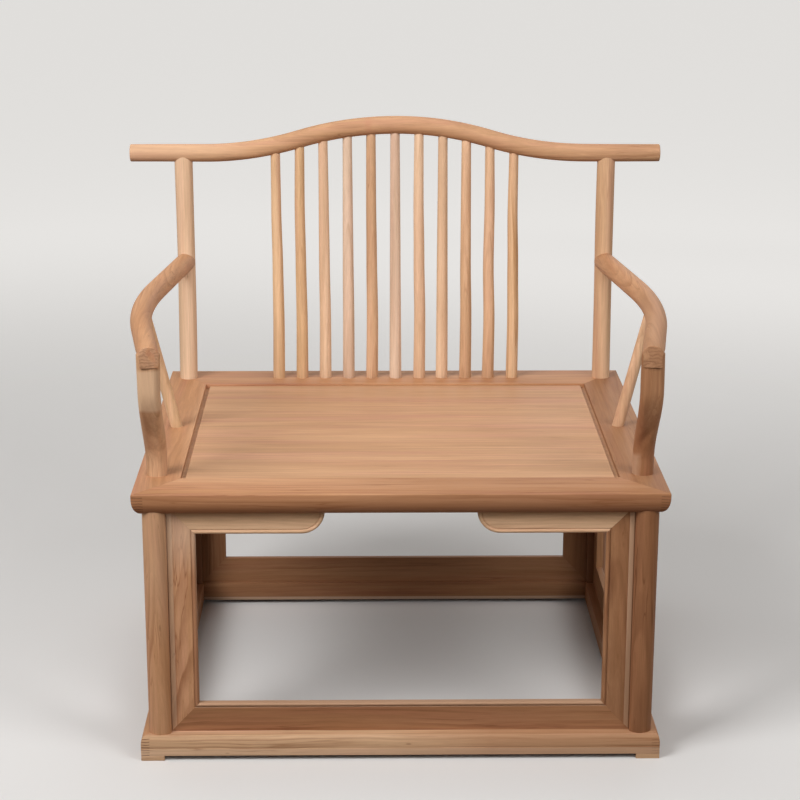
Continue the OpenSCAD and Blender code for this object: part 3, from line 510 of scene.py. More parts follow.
floorMaterials = {
    "front": wood("floorRailFront", "x", (40, -300, 95), "pale", 5, 0.8, 0.35, 24, knots=[((-265, -357, 12), 1.2), ((12, -357, 26), 1.6)],
                  # painted shade: the right part of the front rail is darker
                  marks=[{"low": (-20, -900, -500), "high": (900, 0, 500), "fill": 0.45, "soft": 160,
                          "tint": (0.3, 0.11, 0.04)},
                         {"low": (-400, -360, 7), "high": (-383.5, -335, 37), "spacing": 4.4, "wave": 3, "width": 0.26,
                          "lines": 1.0, "soft": 1.0},
                         {"low": (384, -360, 7), "high": (400, -335, 35), "spacing": 4.4, "wave": 3, "width": 0.15,
                          "lines": 0.8, "soft": 1.5},
                         {"low": (-389.4, -343, 38), "high": (-384.6, -333, 42), "fill": 0.9, "tint": (0.09, 0.02, 0.01)},
                         {"low": (384.6, -343, 38), "high": (389, -333, 42), "fill": 0.85, "tint": (0.07, 0.02, 0.01)},
                         {"low": (-400, -360, 2), "high": (400, -353, 19), "fill": 0.3, "tint": (0.6, 0.43, 0.31)}]),
    "back": wood("floorRailBack", "x", (0, 420, 130), "shade", 5, 0.5, 0.5,
                 marks=[{"low": (-400, 300, 7), "high": (400, 312, 14), "fill": 0.6, "tint": (0.62, 0.45, 0.33)},
                        {"low": (-400, 300, 14), "high": (400, 312, 14.9), "fill": 0.5, "tint": (0.16, 0.08, 0.04),
                         "soft": 0.3}]),
    "left": wood("floorRailLeft", "y", (-330, 30, 90), "rosy", 5, 0.4, 0.5),
    "right": wood("floorRailRight", "y", (330, 10, 95), "rosy", 5, 0.4, 0.5),
}
for side in ("front", "back", "left", "right"):
    wide = side in ("front", "back")
    length = floorFrame["width"] if wide else floorFrame["depth"]
    half = (floorFrame["depth"] if wide else floorFrame["width"])/2
    bm = profileBar(floorRailProfile(half), length)
    corner = (length/2, -half, 0)
    cutAway(bm, corner, (1, 1, 0))
    cutAway(bm, (-corner[0], corner[1], 0), (-1, 1, 0))
    softenEdges(bm, 0.35)
    put(bm, Matrix.Rotation(math.radians({"front": 0, "right": 90, "back": 180, "left": -90}[side]), 4, "Z"))
    finishPiece(bm, "floorRail" + side.capitalize(), floorMaterials[side],
                "warm_wood" if wide else "deep_wood", "base_rail_" + side)

footMaterial = wood("footBlocks", "x", (0, 0, 30), "pale", 5, 0.4, 0.6)
for sx, lr in ((-1, "left"), (1, "right")):
    for sy, fb in ((-1, "front"), (1, "back")):
        bm = bmesh.new()
        bmesh.ops.create_cube(bm, size=1)
        w = floorFrame["footWidth"]
        bmesh.ops.scale(bm, vec=(w*mm, w*mm, floorFrame["foot"]*mm), verts=bm.verts)
        softenEdges(bm, 0.8)
        put(bm, Matrix.Translation((sx*(floorFrame["width"] - w)/2*mm, sy*(floorFrame["depth"] - w)/2*mm,
                                    floorFrame["foot"]/2*mm)))
        finishPiece(bm, "foot" + fb.capitalize() + lr.capitalize(), footMaterial, "deep_wood",
                    "foot_%s_%s" % (fb, lr))
print("floor frame ready")


# Legs: round outside, square inside, the round side leaning in towards the foot

def legPoint(vert, z, shift):
    # section of a leg in mm: square in the inner back quarter, round elsewhere
    c, s = vert.co.x, vert.co.y
    half = legs["size"]/2
    if c < -1e-6 and s > 1e-6:
        reach = half/max(-c, s)
        return Vector((-half + (c*reach + half)*(half - shift)/half, s*reach, z))
    return Vector((max(-half, c*legs["round"] - shift), s*legs["round"], z))


def legShaft(top, bottom):
    bm = bmesh.new()
    unit = [bm.verts.layers.float.new(axis) for axis in ("unitAcross", "unitUp")]
    for vert in bmesh.ops.create_circle(bm, cap_ends=True, segments=64, radius=1)["verts"]:
        vert[unit[0]], vert[unit[1]] = vert.co.x, vert.co.y
    face = bm.faces[:][0]
    low = face.verts[:]
    high = bmesh.ops.extrude_discrete_faces(bm, faces=[face])["faces"][0].verts[:]
    for verts, z, shift in ((low, bottom, legs["setIn"] + legs["lean"]), (high, top, legs["setIn"])):
        for vert in verts:
            vert.co.x, vert.co.y = vert[unit[0]], vert[unit[1]]
            vert.co = legPoint(vert, z, shift)*mm
    closeEnds(bm)
    return bm


legMaterials = {
    "leg_front_left": wood("legFrontLeft", "z", (-372, -322, 0), "rosy", 7, 0.7, 0.5, 24, lean=(-4, 2, 0),
                           knots=[((-363, -352, 215), 2.2)],
                           # painted light: the upper part of the left front leg is lightened
                           marks=[{"low": (-600, -600, 180), "high": (0, 0, 700), "fill": 0.3, "soft": 120,
                                   "tint": (0.62, 0.41, 0.26)}]),
    # painted shade: the right front leg takes the darkest copy of the wood
    "leg_front_right": wood("legFrontRight", "z", (372, -318, 0), "deepShade", 6.5, 0.75, 0.6, 26, lean=(-2.2, 1, 0),
                            knots=[((353, -350, 165), 2.6)]),
}
for sx, lr in ((-1, "left"), (1, "right")):
    bm = legShaft(seat["under"] + 4, legs["floor"] - 3)
    softenEdges(bm, 0.6, angle=60)
    put(bm, Matrix.Translation((sx*legs["x"]*mm, legs["front"]*mm, 0)) @ (mirrorX if sx < 0 else Matrix()))
    finishPiece(bm, "frontLeg" + lr.capitalize(), legMaterials["leg_front_" + lr], "warm_wood", "leg_front_" + lr)


# Rear legs that go on as the posts of the back

# painted shade: the rear legs are darkened below the seat
shadeBelowSeat = {"low": (-400, 290, 0), "high": (400, 360, 396), "fill": 0.85, "soft": 4, "tint": (0.24, 0.1, 0.045)}
postMaterials = {
    "left": wood("rearPostLeft", "z", (-420, 250, 0), "milk", 7, 0.22, 0.7, 10, knots=[((-363, 299, 615), 2)],
                 marks=[shadeBelowSeat]),
    "right": wood("rearPostRight", "z", (330, 260, 0), "pale", 6, 0.45, 0.6, 14,
                  # painted shade: the lower part of the right post is darker
                  marks=[shadeBelowSeat, {"low": (340, 290, 390), "high": (395, 340, 640), "fill": 0.3, "soft": 80,
                                     "tint": (0.42, 0.24, 0.13)}]),
}
post = {"top": 830, "round": 1.0, "bow": 0.6, "copeFrom": 780, "copeIn": 1.7}
for sx, lr in ((-1, "left"), (1, "right")):
    bm = legShaft(seat["under"] + 4, legs["floor"] - 3)
    softenEdges(bm, 0.6, angle=60)
    put(bm, Matrix.Translation((sx*legs["x"]*mm, legs["back"]*mm, 0)) @ mirrorY @ (mirrorX if sx < 0 else Matrix()))
    stations = []
    steps = 26
    for step in range(steps + 1):
        t = step/steps
        z = seat["under"] + (post["top"] - seat["under"])*t
        radius = posts["size"]/2 + 0.2*math.sin(9*t + sx)
        cope = post["copeIn"]*min(1, max(0, (z - post["copeFrom"])/(post["top"] - post["copeFrom"])))
        stations.append(((sx*posts["x"] + post["bow"]*math.sin(5*t + sx), posts["y"], z), (0, 0, 1), (1, 0, 0),
                         radius, radius - cope))
    shaft = sweepRod(roundedEnds(stations, post["round"]), 48)
    mesh = bpy.data.meshes.new("shaft")
    shaft.to_mesh(mesh)
    shaft.free()
    bm.from_mesh(mesh)
    bpy.data.meshes.remove(mesh)
    finishPiece(bm, "rearPost" + lr.capitalize(), postMaterials[lr], "pale_wood", "rear_post_" + lr)
print("legs ready")


# Liners of the openings: boards with a bead and a fine groove along the opening's edge

liner = {"thick": 10, "out": 3, "bead": 6, "beadOut": 1.5, "groove": 1.2, "stile": 43, "strip": 46, "apron": 35,
         "wideEnd": 114, "sideEnd": 88, "openBottom": 86, "openTop": 359, "edgeLine": 8.5}


def linerProfile(width, edgeLine=0.0):
    # points of (distance from the opening's edge, distance out from the back face)
    v = liner
    r = v["bead"]/2
    floor = v["thick"] - v["groove"]
    points = [(0, 0), (width, 0), (width, v["thick"])]
    if edgeLine:
        at = width - edgeLine
        points += [(at + 0.5, v["thick"]), (at, v["thick"] - 0.6), (at - 0.5, v["thick"])]
    points += [(v["bead"] + v["groove"] + 0.3, v["thick"]), (v["bead"] + v["groove"], v["thick"] - 0.3),
               (v["bead"] + v["groove"], floor), (v["bead"], floor)]
    return points + arcPoints((r, v["thick"] + v["beadOut"] - r), r, 0, 180, 10)[1:]


def halfSpan(side):
    return legs["x"] if side in ("front", "back") else (legs["back"] - legs["front"])/2


def linerBack():
    return liner["thick"] - liner["out"]


def makeStile(side):
    # upright liner at the local right of an opening
    v = liner
    outer = halfSpan(side) - legs["size"]/2
    inner = outer - v["stile"]
    bottom, top = legs["floor"], seat["under"]
    bm = profileBar([(y, z) for y, z in linerProfile(v["stile"], v["edgeLine"])], top - bottom)
    # the bar lies along X: stand it up, opening edge to -X, face to -Y
    toUpright = Matrix(((0, 1, 0, inner*mm), (0, 0, -1, linerBack()*mm), (1, 0, 0, (top + bottom)/2*mm), (0, 0, 0, 1)))
    put(bm, toUpright)
    cutAway(bm, (inner, 0, v["openBottom"]), (-(v["openBottom"] - bottom), 0, -v["stile"]))
    cutAway(bm, (inner, 0, v["openTop"]), (-1, 0, 1))
    return bm


def makeStrip(side):
    # liner that stands on the floor frame
    v = liner
    outer = halfSpan(side) - legs["size"]/2
    bm = profileBar(linerProfile(v["strip"]), 2*outer)
    put(bm, Matrix(((1, 0, 0, 0), (0, 0, -1, linerBack()*mm), (0, -1, 0, v["openBottom"]*mm), (0, 0, 0, 1))))
    for sx in (-1, 1):
        cutAway(bm, (sx*outer, 0, legs["floor"]), (sx*v["strip"], 0, v["stile"]))
    return bm


def makeApron(side):
    # short apron at the local right, with a quarter-round inner end
    v = liner
    inner = halfSpan(side) - legs["size"]/2 - v["stile"]
    end = (v["wideEnd"] if side in ("front", "back") else v["sideEnd"]) + v["apron"]
    length = inner + v["apron"] - end
    bm = profileBar(linerProfile(v["apron"]), length)
    put(bm, Matrix(((1, 0, 0, (end + length/2)*mm), (0, 0, -1, linerBack()*mm), (0, 1, 0, v["openTop"]*mm), (0, 0, 0, 1))))
    cutAway(bm, (inner, 0, v["openTop"]), (1, 0, -1))
    # the round end is the same profile, spun a quarter turn about the seat's underside
    startFace = min(bm.faces, key=lambda face: face.calc_center_median().x)
    edges = startFace.edges[:]
    bmesh.ops.delete(bm, geom=[startFace], context="FACES_ONLY")
    bmesh.ops.spin(bm, geom=edges, cent=(end*mm, 0, seat["under"]*mm), axis=(0, 1, 0),
                   angle=math.pi/2, steps=14, use_merge=False)
    bmesh.ops.remove_doubles(bm, verts=bm.verts, dist=1e-6)
    closeEnds(bm)
    return bm


def frontStileMarks(end, edge):
    # a pale outer band, the dark joint beside the leg and, on the left, a bead that hardly shows
    def band(near, far, fill, tint, soft):
        sides = sorted((end*near, end*far))
        return {"low": (sides[0], -345, 0), "high": (sides[1], -325, 400), "fill": fill, "soft": soft, "tint": tint}

    inner = edge - liner["stile"]
    marks = [band(edge + 1, edge - 8.5, 0.4, (0.64, 0.45, 0.31), 0.5), band(edge + 1, edge - 1.6, 0.8, (0.12, 0.05, 0.02), 0.4)]
    if end < 0:
        marks.append(band(inner + 6.6, inner - 1, 0.7, (0.3, 0.14, 0.075), 0.4))
        marks.append({"low": (-500, -500, 290), "high": (-100, -200, 600), "fill": 0.45, "soft": 60,
                      "tint": (0.64, 0.45, 0.32)})
    else:
        # painted shade: the right stile is darker towards its foot
        marks.append({"low": (100, -500, -200), "high": (500, -200, 240), "fill": 0.25, "soft": 90,
                      "tint": (0.2, 0.09, 0.04)})
    return marks


# which local end each named half is: +1 local right, -1 local left
linerEnds = {"front": (("left", -1), ("right", 1)), "back": (("left", 1), ("right", -1)),
             "left": (("front", 1), ("back", -1)), "right": (("front", -1), ("back", 1))}
for side in ("front", "back", "left", "right"):
    matrix = sideMatrix(side)
    wide = side in ("front", "back")
    slotName = "warm_wood" if wide else "deep_wood"
    span = halfSpan(side)
    bm = makeStrip(side)
    softenEdges(bm, 0.3, angle=50)
    put(bm, matrix)
    at = matrix @ Vector((0, 0, 0))/mm
    along = "x" if wide else "y"
    toneName = "shade" if wide else "rosy"
    pith = (0, 420, 130) if side == "back" else (at.x*0.9 + 10, at.y*0.9, 20)
    material = wood("strip" + side.capitalize(), along, pith, toneName, 5, 0.6, 0.45, 20,
                    # painted highlight along the front strip's top edge and bead
                    marks=[{"low": (-400, -345, 78.2), "high": (400, -325, 90), "fill": 0.5, "soft": 0.4,
                            "tint": (0.6, 0.4, 0.27)}] if side == "front" else ())
    finishPiece(bm, "strip" + side.capitalize(), material, slotName, "strip_" + side)
    for word, end in linerEnds[side]:
        flip = Matrix() if end > 0 else mirrorX
        at = matrix @ flip @ Vector(((span - 45)*mm, 0, 0))/mm
        toneName = {"front": "rosy" if word == "left" else "shade", "back": "shade"}.get(side, "rosy")
        edge = (span - legs["size"]/2)
        front = side == "front"
        stileMaterial = wood("stile" + side.capitalize() + word.capitalize(), "z",
                             (end*(edge - 30), -316 - 4*end, 0) if front else (at.x*0.93, at.y*0.9 + 20*end, 0),
                             toneName, 7, 0.75, 0.5, 22, lean=(4.5, end*1.5, 0) if front else (0, 0, 0),
                             knots=[((331, -337, 160), 2.0)] if front and end > 0 else (),
                             marks=frontStileMarks(end, edge) if front else ())
        bm = makeStile(side)
        softenEdges(bm, 0.3, angle=50)
        put(bm, matrix @ flip)
        finishPiece(bm, "stile" + side.capitalize() + word.capitalize(), stileMaterial, slotName,
                    "stile_%s_%s" % (side, word))
        apronMaterial = wood("apron" + side.capitalize() + word.capitalize(), along,
                             (at.x*0.9, at.y*0.9, 440), "pale" if side == "front" else "rosy", 6, 0.4, 0.6, 22)
        bm = makeApron(side)
        softenEdges(bm, 0.3, angle=50)
        put(bm, matrix @ flip)
        finishPiece(bm, "apron" + side.capitalize() + word.capitalize(), apronMaterial, "pale_wood",
                    "apron_%s_%s" % (side, word))
print("liners ready")


# Seat frame with its sunk panel

seatEdge = {"arris": 1.5, "underIn": 19, "underHeight": 26, "panelTop": 425, "panelGap": 1.2, "groove": 7}
seatWidths = {"front": seat["front"], "back": seat["back"], "left": seat["side"], "right": seat["side"]}


def seatRailProfile(width):
    v = seatEdge
    points = [(width, seat["under"]), (width, seat["top"])]
    points += arcPoints((v["arris"], seat["top"] - v["arris"]), v["arris"], 90, 180, 4)
    for step in range(15):
        angle = math.radians(180 + 90*step/14)
        points.append((v["underIn"]*(1 + math.cos(angle)), seat["under"] + v["underHeight"]*(1 + math.sin(angle))))
    return points[::-1]


seatMaterials = {
    "front": wood("seatRailFront", "x", (60, -440, 500), "rosy", 6, 0.85, 0.6, 28,
                  knots=[((-335, -357, 409), 1.5)],
                  # painted shade under the front edge's rounded underside
                  marks=[{"low": (-402, -362, 386), "high": (402, -341, 418), "fill": 0.55, "soft": 5,
                          "tint": (0.24, 0.08, 0.03)},
                         {"low": (-402, -362, 400), "high": (402, -357, 427.2), "fill": 0.35, "soft": 0.5,
                          "tint": (0.34, 0.14, 0.06)},
                         # painted shade: the right part of the front rail is darker
                         {"low": (-160, -900, 0), "high": (900, 0, 900), "fill": 0.36, "soft": 220,
                          "tint": (0.24, 0.1, 0.045)},
                         {"low": (-402, -362, 398), "high": (-382, -338, 427), "spacing": 4.6, "wave": 3,
                          "width": 0.34, "lines": 0.9, "soft": 1.5},
                         {"low": (385, -362, 398), "high": (402, -338, 427), "spacing": 4.6, "wave": 3,
                          "width": 0.3, "lines": 0.8, "soft": 1.5}]),
    "back": wood("seatRailBack", "x", (-80, 420, 480), "rosy", 7, 0.5, 0.4, 20),
    "left": wood("seatRailLeft", "y", (-300, 40, 470), "rosy", 9, 0.35, 0.6, 30),
    "right": wood("seatRailRight", "y", (310, -60, 480), "shade", 9, 0.4, 0.7, 30),
}
for side in ("front", "right", "back", "left"):
    wide = side in ("front", "back")
    length = seat["width"] if wide else seat["depth"]
    half = (seat["depth"] if wide else seat["width"])/2
    width = seatWidths[side]
    order = {"front": ("left", "right"), "right": ("front", "back"), "back": ("right", "left"), "left": ("back", "front")}
    bm = profileBar([(-half + 0.01 + y, z) for y, z in seatRailProfile(width)], length)
    for sx, neighbour in zip((-1, 1), order[side]):
        cutAway(bm, (sx*length/2, -half, 0), (sx*width, seatWidths[neighbour], 0))
    softenEdges(bm, 0.4, angle=50)
    put(bm, Matrix.Rotation(math.radians({"front": 0, "right": 90, "back": 180, "left": -90}[side]), 4, "Z"))
    finishPiece(bm, "seatRail" + side.capitalize(), seatMaterials[side],
                "warm_wood" if wide else "deep_wood", "seat_rail_" + side)

panelMaterial = wood("seatPanel", "x", (100, -60, 590), "warm", 7, 0.3, 0.2, 26, bump=0.2,
                     # painted shade on the tongue down in the side grooves
                     marks=[{"low": (x - 12, -300, 400), "high": (x + 12, 290, 423), "fill": 0.35, "soft": 0.3,
                             "tint": (0.36, 0.185, 0.1)} for x in (-338.2, 338.2)])
bm = bmesh.new()
bmesh.ops.create_cube(bm, size=1)
innerX = seat["width"]/2 - seat["side"] - seatEdge["groove"]
innerFront = -seat["depth"]/2 + seat["front"] + seatEdge["panelGap"]
innerBack = seat["depth"]/2 - seat["back"] - seatEdge["panelGap"]
bmesh.ops.scale(bm, vec=(2*innerX*mm, (innerBack - innerFront)*mm, 14*mm), verts=bm.verts)
softenEdges(bm, 0.8)
put(bm, Matrix.Translation((0, (innerBack + innerFront)/2*mm, (seatEdge["panelTop"] - 7)*mm)))
# the tongue that fills the gap's depth
tongue = bmesh.new()
bmesh.ops.create_cube(tongue, size=1)
bmesh.ops.scale(tongue, vec=((2*innerX + 28)*mm, (innerBack - innerFront + 14)*mm, 6*mm), verts=tongue.verts)
bmesh.ops.translate(tongue, verts=tongue.verts, vec=(0, (innerBack + innerFront)/2*mm, (seatEdge["panelTop"] - 7)*mm))
mesh = bpy.data.meshes.new("tongue")
tongue.to_mesh(mesh)
tongue.free()
bm.from_mesh(mesh)
bpy.data.meshes.remove(mesh)
finishPiece(bm, "seatPanel", panelMaterial, "pale_wood", "seat_panel")

battenMaterial = wood("battens", "y", (0, 0, 330), "rosy", 6, 0.4, 0.5)
for name in ("batten_left", "batten_right"):
    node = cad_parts[name]
    for slot in node.material_slots:
        slot.material = battenMaterial
print("seat ready")


# Top rail: straight ends and a hump of equal arcs

topRail = {"axis": 830, "rise": 48.5, "run": 330, "length": 917, "size": 31, "round": 2.0}
humpRadius = (topRail["run"]**2 + topRail["rise"]**2)/(4*topRail["rise"])


def railAxis(x):
    a = abs(x)
    v = topRail
    if a > v["run"]:
        return v["axis"]
    if a > v["run"]/2:
        return v["axis"] + humpRadius - math.sqrt(humpRadius**2 - (v["run"] - a)**2)
    return v["axis"] + v["rise"] - humpRadius + math.sqrt(humpRadius**2 - a**2)


stations = []
steps = 72
for step in range(steps + 1):
    x = topRail["length"]*(step/steps - 0.5)
    slope = (railAxis(x + 0.5) - railAxis(x - 0.5))
    thick = 0.995 - 0.03*max(0, (abs(x) - 300)/160)
    radius = topRail["size"]/2*thick
    stations.append(((x, posts["y"], railAxis(x) - 0.15 + 0.15*math.sin(x/37)), (1, 0, slope), (0, 1, 0), radius, radius))
bm = sweepRod(roundedEnds(stations, topRail["round"]), 48)
railMaterial = wood("topRail", "x", (120, 250, 905), "warm", 7, 0.55, 0.4, 24, lean=(0, 0, 2),
                    marks=[{"low": (-260, 290, 800), "high": (260, 340, 920), "fill": 0.5, "soft": 120,
                            "tint": (0.33, 0.16, 0.085)},
                           {"low": (-900, 0, 500), "high": (-250, 700, 1200), "fill": 0.25, "soft": 120,
                            "tint": (0.64, 0.43, 0.29)},
                           {"low": (-56, 290, 862), "high": (-38, 340, 899), "fill": 0.35, "soft": 9, "wave": 6,
                            "tint": (0.46, 0.2, 0.12)}],
                    knots=[((278, 300, 845), 1.4), ((296, 300, 846), 1.2)])
finishPiece(bm, "topRail", railMaterial, "warm_wood", "top_rail")


# Spindles: each tapers to the top and has its own slight bends

spindles = {"pitch": 41.4, "foot": 21.0, "top": 16.2}
# sideways place of each one from the top to the foot, in mm
spindleBends = [
    (-207.9, -207.6, -206.1, -205.5, -206.2), (-166.0, -166.7, -165.6, -164.5, -164.8),
    (-125.4, -124.8, -124.3, -123.2, -123.6), (-83.3, -83.0, -82.7, -82.1, -82.3),
    (-42.4, -42.2, -41.3, -40.1, -40.8), (-0.7, -0.3, 0.0, 0.4, 0.7),
    (40.7, 40.5, 41.8, 43.6, 43.0), (82.2, 82.4, 82.6, 83.0, 83.1),
    (122.9, 123.2, 123.6, 125.2, 124.9), (163.8, 164.7, 163.8, 166.2, 165.4),
    (205.6, 205.0, 206.9, 208.4, 207.8)]
spindleTones = ["gold", "gold", "milk", "cream", "pale", "cream", "milk", "milk", "pale", "pale", "gold"]
for index, bends in enumerate(spindleBends):
    footZ = seat["top"] - 2
    topZ = railAxis(bends[0]) - topRail["size"]/2 + 3
    stations = []
    steps = 24
    for step in range(steps + 1):
        t = step/steps
        z = footZ + (topZ - footZ)*t
        spot = (1 - t)*4
        low = min(3, int(spot))
        blend = spot - low
        blend = blend*blend*(3 - 2*blend)
        x = bends[low]*(1 - blend) + bends[low + 1]*blend
        size = spindles["foot"] + (spindles["top"] - spindles["foot"])*(0.75*t + 0.25*t*t)
        size *= 1 + 0.008*math.sin(7*t + index*1.7)
        stations.append(((x, posts["y"] + 0.5*math.sin(4*t + index), z), (0, 0, 1), (1, 0, 0), size/2, size/2))
    bm = sweepRod(roundedEnds(stations, 1.0), 28)
    toneName = spindleTones[index]
    material = wood("spindle%d" % (index + 1), "z", (bends[2] + 60*math.sin(index*2.1), 250 + 20*math.cos(index), 0),
                    toneName, 5.5, 1.0 if index in (4, 10) else 0.45, 0.6, 20,
                    lean=(3*math.sin(index*1.3), 0, 0))
    finishPiece(bm, "spindle%d" % (index + 1), material, ["pale_wood", "warm_wood", "deep_wood"][index % 3],
                "spindle_%d" % (index + 1))
print("back ready")


# Arms: bowed outwards in plan, with a flat rough-sawn front end

armBar = {"z": 627, "rise": 11.5, "size": 34, "bowRadius": 825, "bowX": 408, "bowY": -23,
          "endX": 370.5, "endY": -323, "round": 1.2}
bowCentre = armBar["bowX"] - armBar["bowRadius"]


def bowAngles():
    reachBack = math.hypot(posts["x"] - bowCentre, posts["y"] - armBar["bowY"])
    reachFront = math.hypot(armBar["endX"] - bowCentre, armBar["endY"] - armBar["bowY"])
    rear = math.atan2(posts["y"] - armBar["bowY"], posts["x"] - bowCentre) - math.acos(armBar["bowRadius"]/reachBack)
    front = math.atan2(armBar["endY"] - armBar["bowY"], armBar["endX"] - bowCentre) + math.acos(armBar["bowRadius"]/reachFront)
    return rear, front


def armPath():
    # plan points from the post to the front end
    rear, front = bowAngles()
    start = Vector((posts["x"], posts["y"]))
    end = Vector((armBar["endX"], armBar["endY"]))
    bow = [Vector((bowCentre + armBar["bowRadius"]*math.cos(front + (rear - front)*(1 - i/20)),
                   armBar["bowY"] + armBar["bowRadius"]*math.sin(front + (rear - front)*(1 - i/20)))) for i in range(21)]
    points = [start.lerp(bow[0], i/5) for i in range(5)] + bow + [bow[-1].lerp(end, i/6) for i in range(1, 7)]
    return points


def armHeight(y):
    return armBar["z"] + armBar["rise"]*(y - armBar["endY"])/(posts["y"] - armBar["endY"])


tongue = {"width": 28, "from": 287, "horn": 3, "corner": 3}
roughEnd = {"spacing": 5.2, "wave": 14, "width": 0.45, "lines": 0.32, "fill": 0.55, "tint": (0.5, 0.29, 0.175)}
armMaterials = {
    "left": wood("armLeft", "y", (-480, 60, 590), "rosy", 6, 0.5, 0.55, 24, knots=[((-377, -255, 643), 1.8)],
                 marks=[{**roughEnd, "low": (-390, -330, 600), "high": (-350, -321.6, 650)}]),
    "right": wood("armRight", "y", (320, 20, 700), "rosy", 6, 0.5, 0.6, 24,
                  # painted shade: the front part of the right arm is darker
                  marks=[{"low": (200, -600, 300), "high": (700, 60, 1000), "fill": 0.4, "soft": 70,
                          "tint": (0.34, 0.18, 0.095)},
                         {**roughEnd, "low": (350, -330, 600), "high": (390, -321.6, 650), "fill": 0.6,
                          "tint": (0.34, 0.17, 0.09)}]),
}
for sx, lr in ((-1, "left"), (1, "right")):
    plan = armPath()
    stations = []
    for i, point in enumerate(plan):
        tangent = plan[min(len(plan) - 1, i + 1)] - plan[max(0, i - 1)]
        radius = armBar["size"]/2*(0.985 + 0.015*math.sin(6*i/(len(plan) - 1) + sx))
        slope = -tangent.length*armBar["rise"]/(posts["y"] - armBar["endY"])
        stations.append(((sx*point.x, point.y, armHeight(point.y)), (sx*tangent.x, tangent.y, slope), (0, 0, 1),
                         radius, radius))
    bm = sweepRod(roundedEnds(stations, armBar["round"]), 64)
    # within the head of the front post the arm is only a tongue with a flat underside,
    # and it has its full width again above the horns
    end = Vector((sx*armBar["endX"], armBar["endY"], armBar["z"]))*mm
    tangent = Vector((sx*(plan[-1] - plan[-2]).x, (plan[-1] - plan[-2]).y, 0)).normalized()
    sideways = Vector((-tangent.y, tangent.x, 0))
    half = tongue["width"]/2*mm
    radius = armBar["size"]/2*mm
    for vert in bm.verts:
        if vert.co.y > -tongue["from"]*mm:
            continue
        off = (vert.co - end).dot(sideways)
        height = vert.co.z - end.z
        above = max(0.0, min(1.0, (height/mm - tongue["horn"])/3))
        if height < 0:
            # the lower half of the ring is drawn out to a box with rounded corners
            size = math.hypot(off, height)
            power = 7.0
            stretch = (abs(off/size)**power + abs(height/size)**power)**(-1/power)
            drop = max(-size*stretch, height*stretch)*0.985
            vert.co.z = end.z + drop
            vert.co += sideways*(math.copysign(min(half, abs(off)*stretch), off) - off)
        else:
            limit = half + 3*above*mm
            if abs(off) > limit:
                vert.co -= sideways*(off - math.copysign(limit, off))
    finishPiece(bm, "arm" + lr.capitalize(), armMaterials[lr], "warm_wood", "arm_" + lr)


# Front posts: they leave the seat upright, swing forward like a goose's neck, and
# end in two horns beside the tongue of the arm

neck = {"x": 370, "y": -257, "out": 3.5, "forward": 48, "foot": 32.5, "top": 35.5, "from": 0.1, "to": 0.72,
        "flatFrom": 0.42, "flat": 2.4}
neckMaterials = {
    "left": wood("frontPostLeft", "z", (-330, -340, 0), "warm", 8, 0.5, 0.6, 30,
                 # painted shade in the hollow below the head
                 marks=[{"low": (-410, -330, 462), "high": (-366, -262, 556), "fill": 0.55, "wave": 8, "soft": 14,
                         "tint": (0.32, 0.14, 0.07)},
                        # painted light on the broad flat of the head
                        {"low": (-400, -340, 540), "high": (-345, -300, 609), "fill": 0.55, "wave": 4, "soft": 5,
                         "tint": (0.64, 0.44, 0.29)}]),
    "right": wood("frontPostRight", "z", (330, -340, 0), "shade", 9, 0.35, 0.65, 30,
                  # painted shade in the hollow below the head
                  marks=[{"low": (338, -330, 462), "high": (376, -262, 560), "fill": 0.5, "wave": 8, "soft": 14,
                          "tint": (0.26, 0.11, 0.055)},
                         # painted light on the lower inner side
                         {"low": (340, -290, 400), "high": (366, -250, 466), "fill": 0.5, "wave": 8, "soft": 8,
                          "tint": (0.55, 0.36, 0.24)}]),
}
neckHeight = armBar["z"] + tongue["horn"] - seat["top"]


def neckCentre(t, sx):
    u = min(1, max(0, (t - neck["from"])/(neck["to"] - neck["from"])))
    swing = u*u*(3 - 2*u)
    return Vector((sx*(neck["x"] + neck["out"]*swing), neck["y"] - neck["forward"]*swing, seat["top"] + neckHeight*t))


for sx, lr in ((-1, "left"), (1, "right")):
    stations = []
    for step in range(-1, 41):
        t = step/40
        tangent = neckCentre(t + 0.01, sx) - neckCentre(t - 0.01, sx)
        radius = (neck["foot"] + (neck["top"] - neck["foot"])*t + 0.6*math.sin(9*t + sx) - 0.6)/2
        # carved rather than turned: squarer where it swings and at its head
        square = 2.0 + 1.1*math.exp(-((t - 0.62)/0.3)**2)
        stations.append((neckCentre(t, sx), tangent, (1, 0, 0), radius, radius*0.97, square))
    bm = sweepRod(roundedEnds(stations, 1.5), 48)
    # a broad flat is planed on the front of the head, and a hollow runs down on its inner side
    for vert in bm.verts:
        t = (vert.co.z/mm - seat["top"])/neckHeight
        axis = neckCentre(min(1, max(0, t)), sx)
        ahead = axis.y - vert.co.y/mm
        inward = -sx*(vert.co.x/mm - axis.x)
        planed = min(1, max(0, (t - neck["flatFrom"])/0.16))
        limit = neck["top"]/2 - neck["flat"]*planed
        if ahead > limit:
            vert.co.y += (ahead - limit)*mm
        hollow = math.exp(-((t - 0.33)/0.14)**2)*max(0, min(1, (ahead - 2)/9))
        tilt = math.exp(-((inward - 26*(0.36 - t)*3)/7)**2)
        vert.co.y += 2.6*hollow*tilt*mm
    finishPiece(bm, "frontPost" + lr.capitalize(), neckMaterials[lr], "pale_wood", "front_post_" + lr)


# Side braces between seat and arm

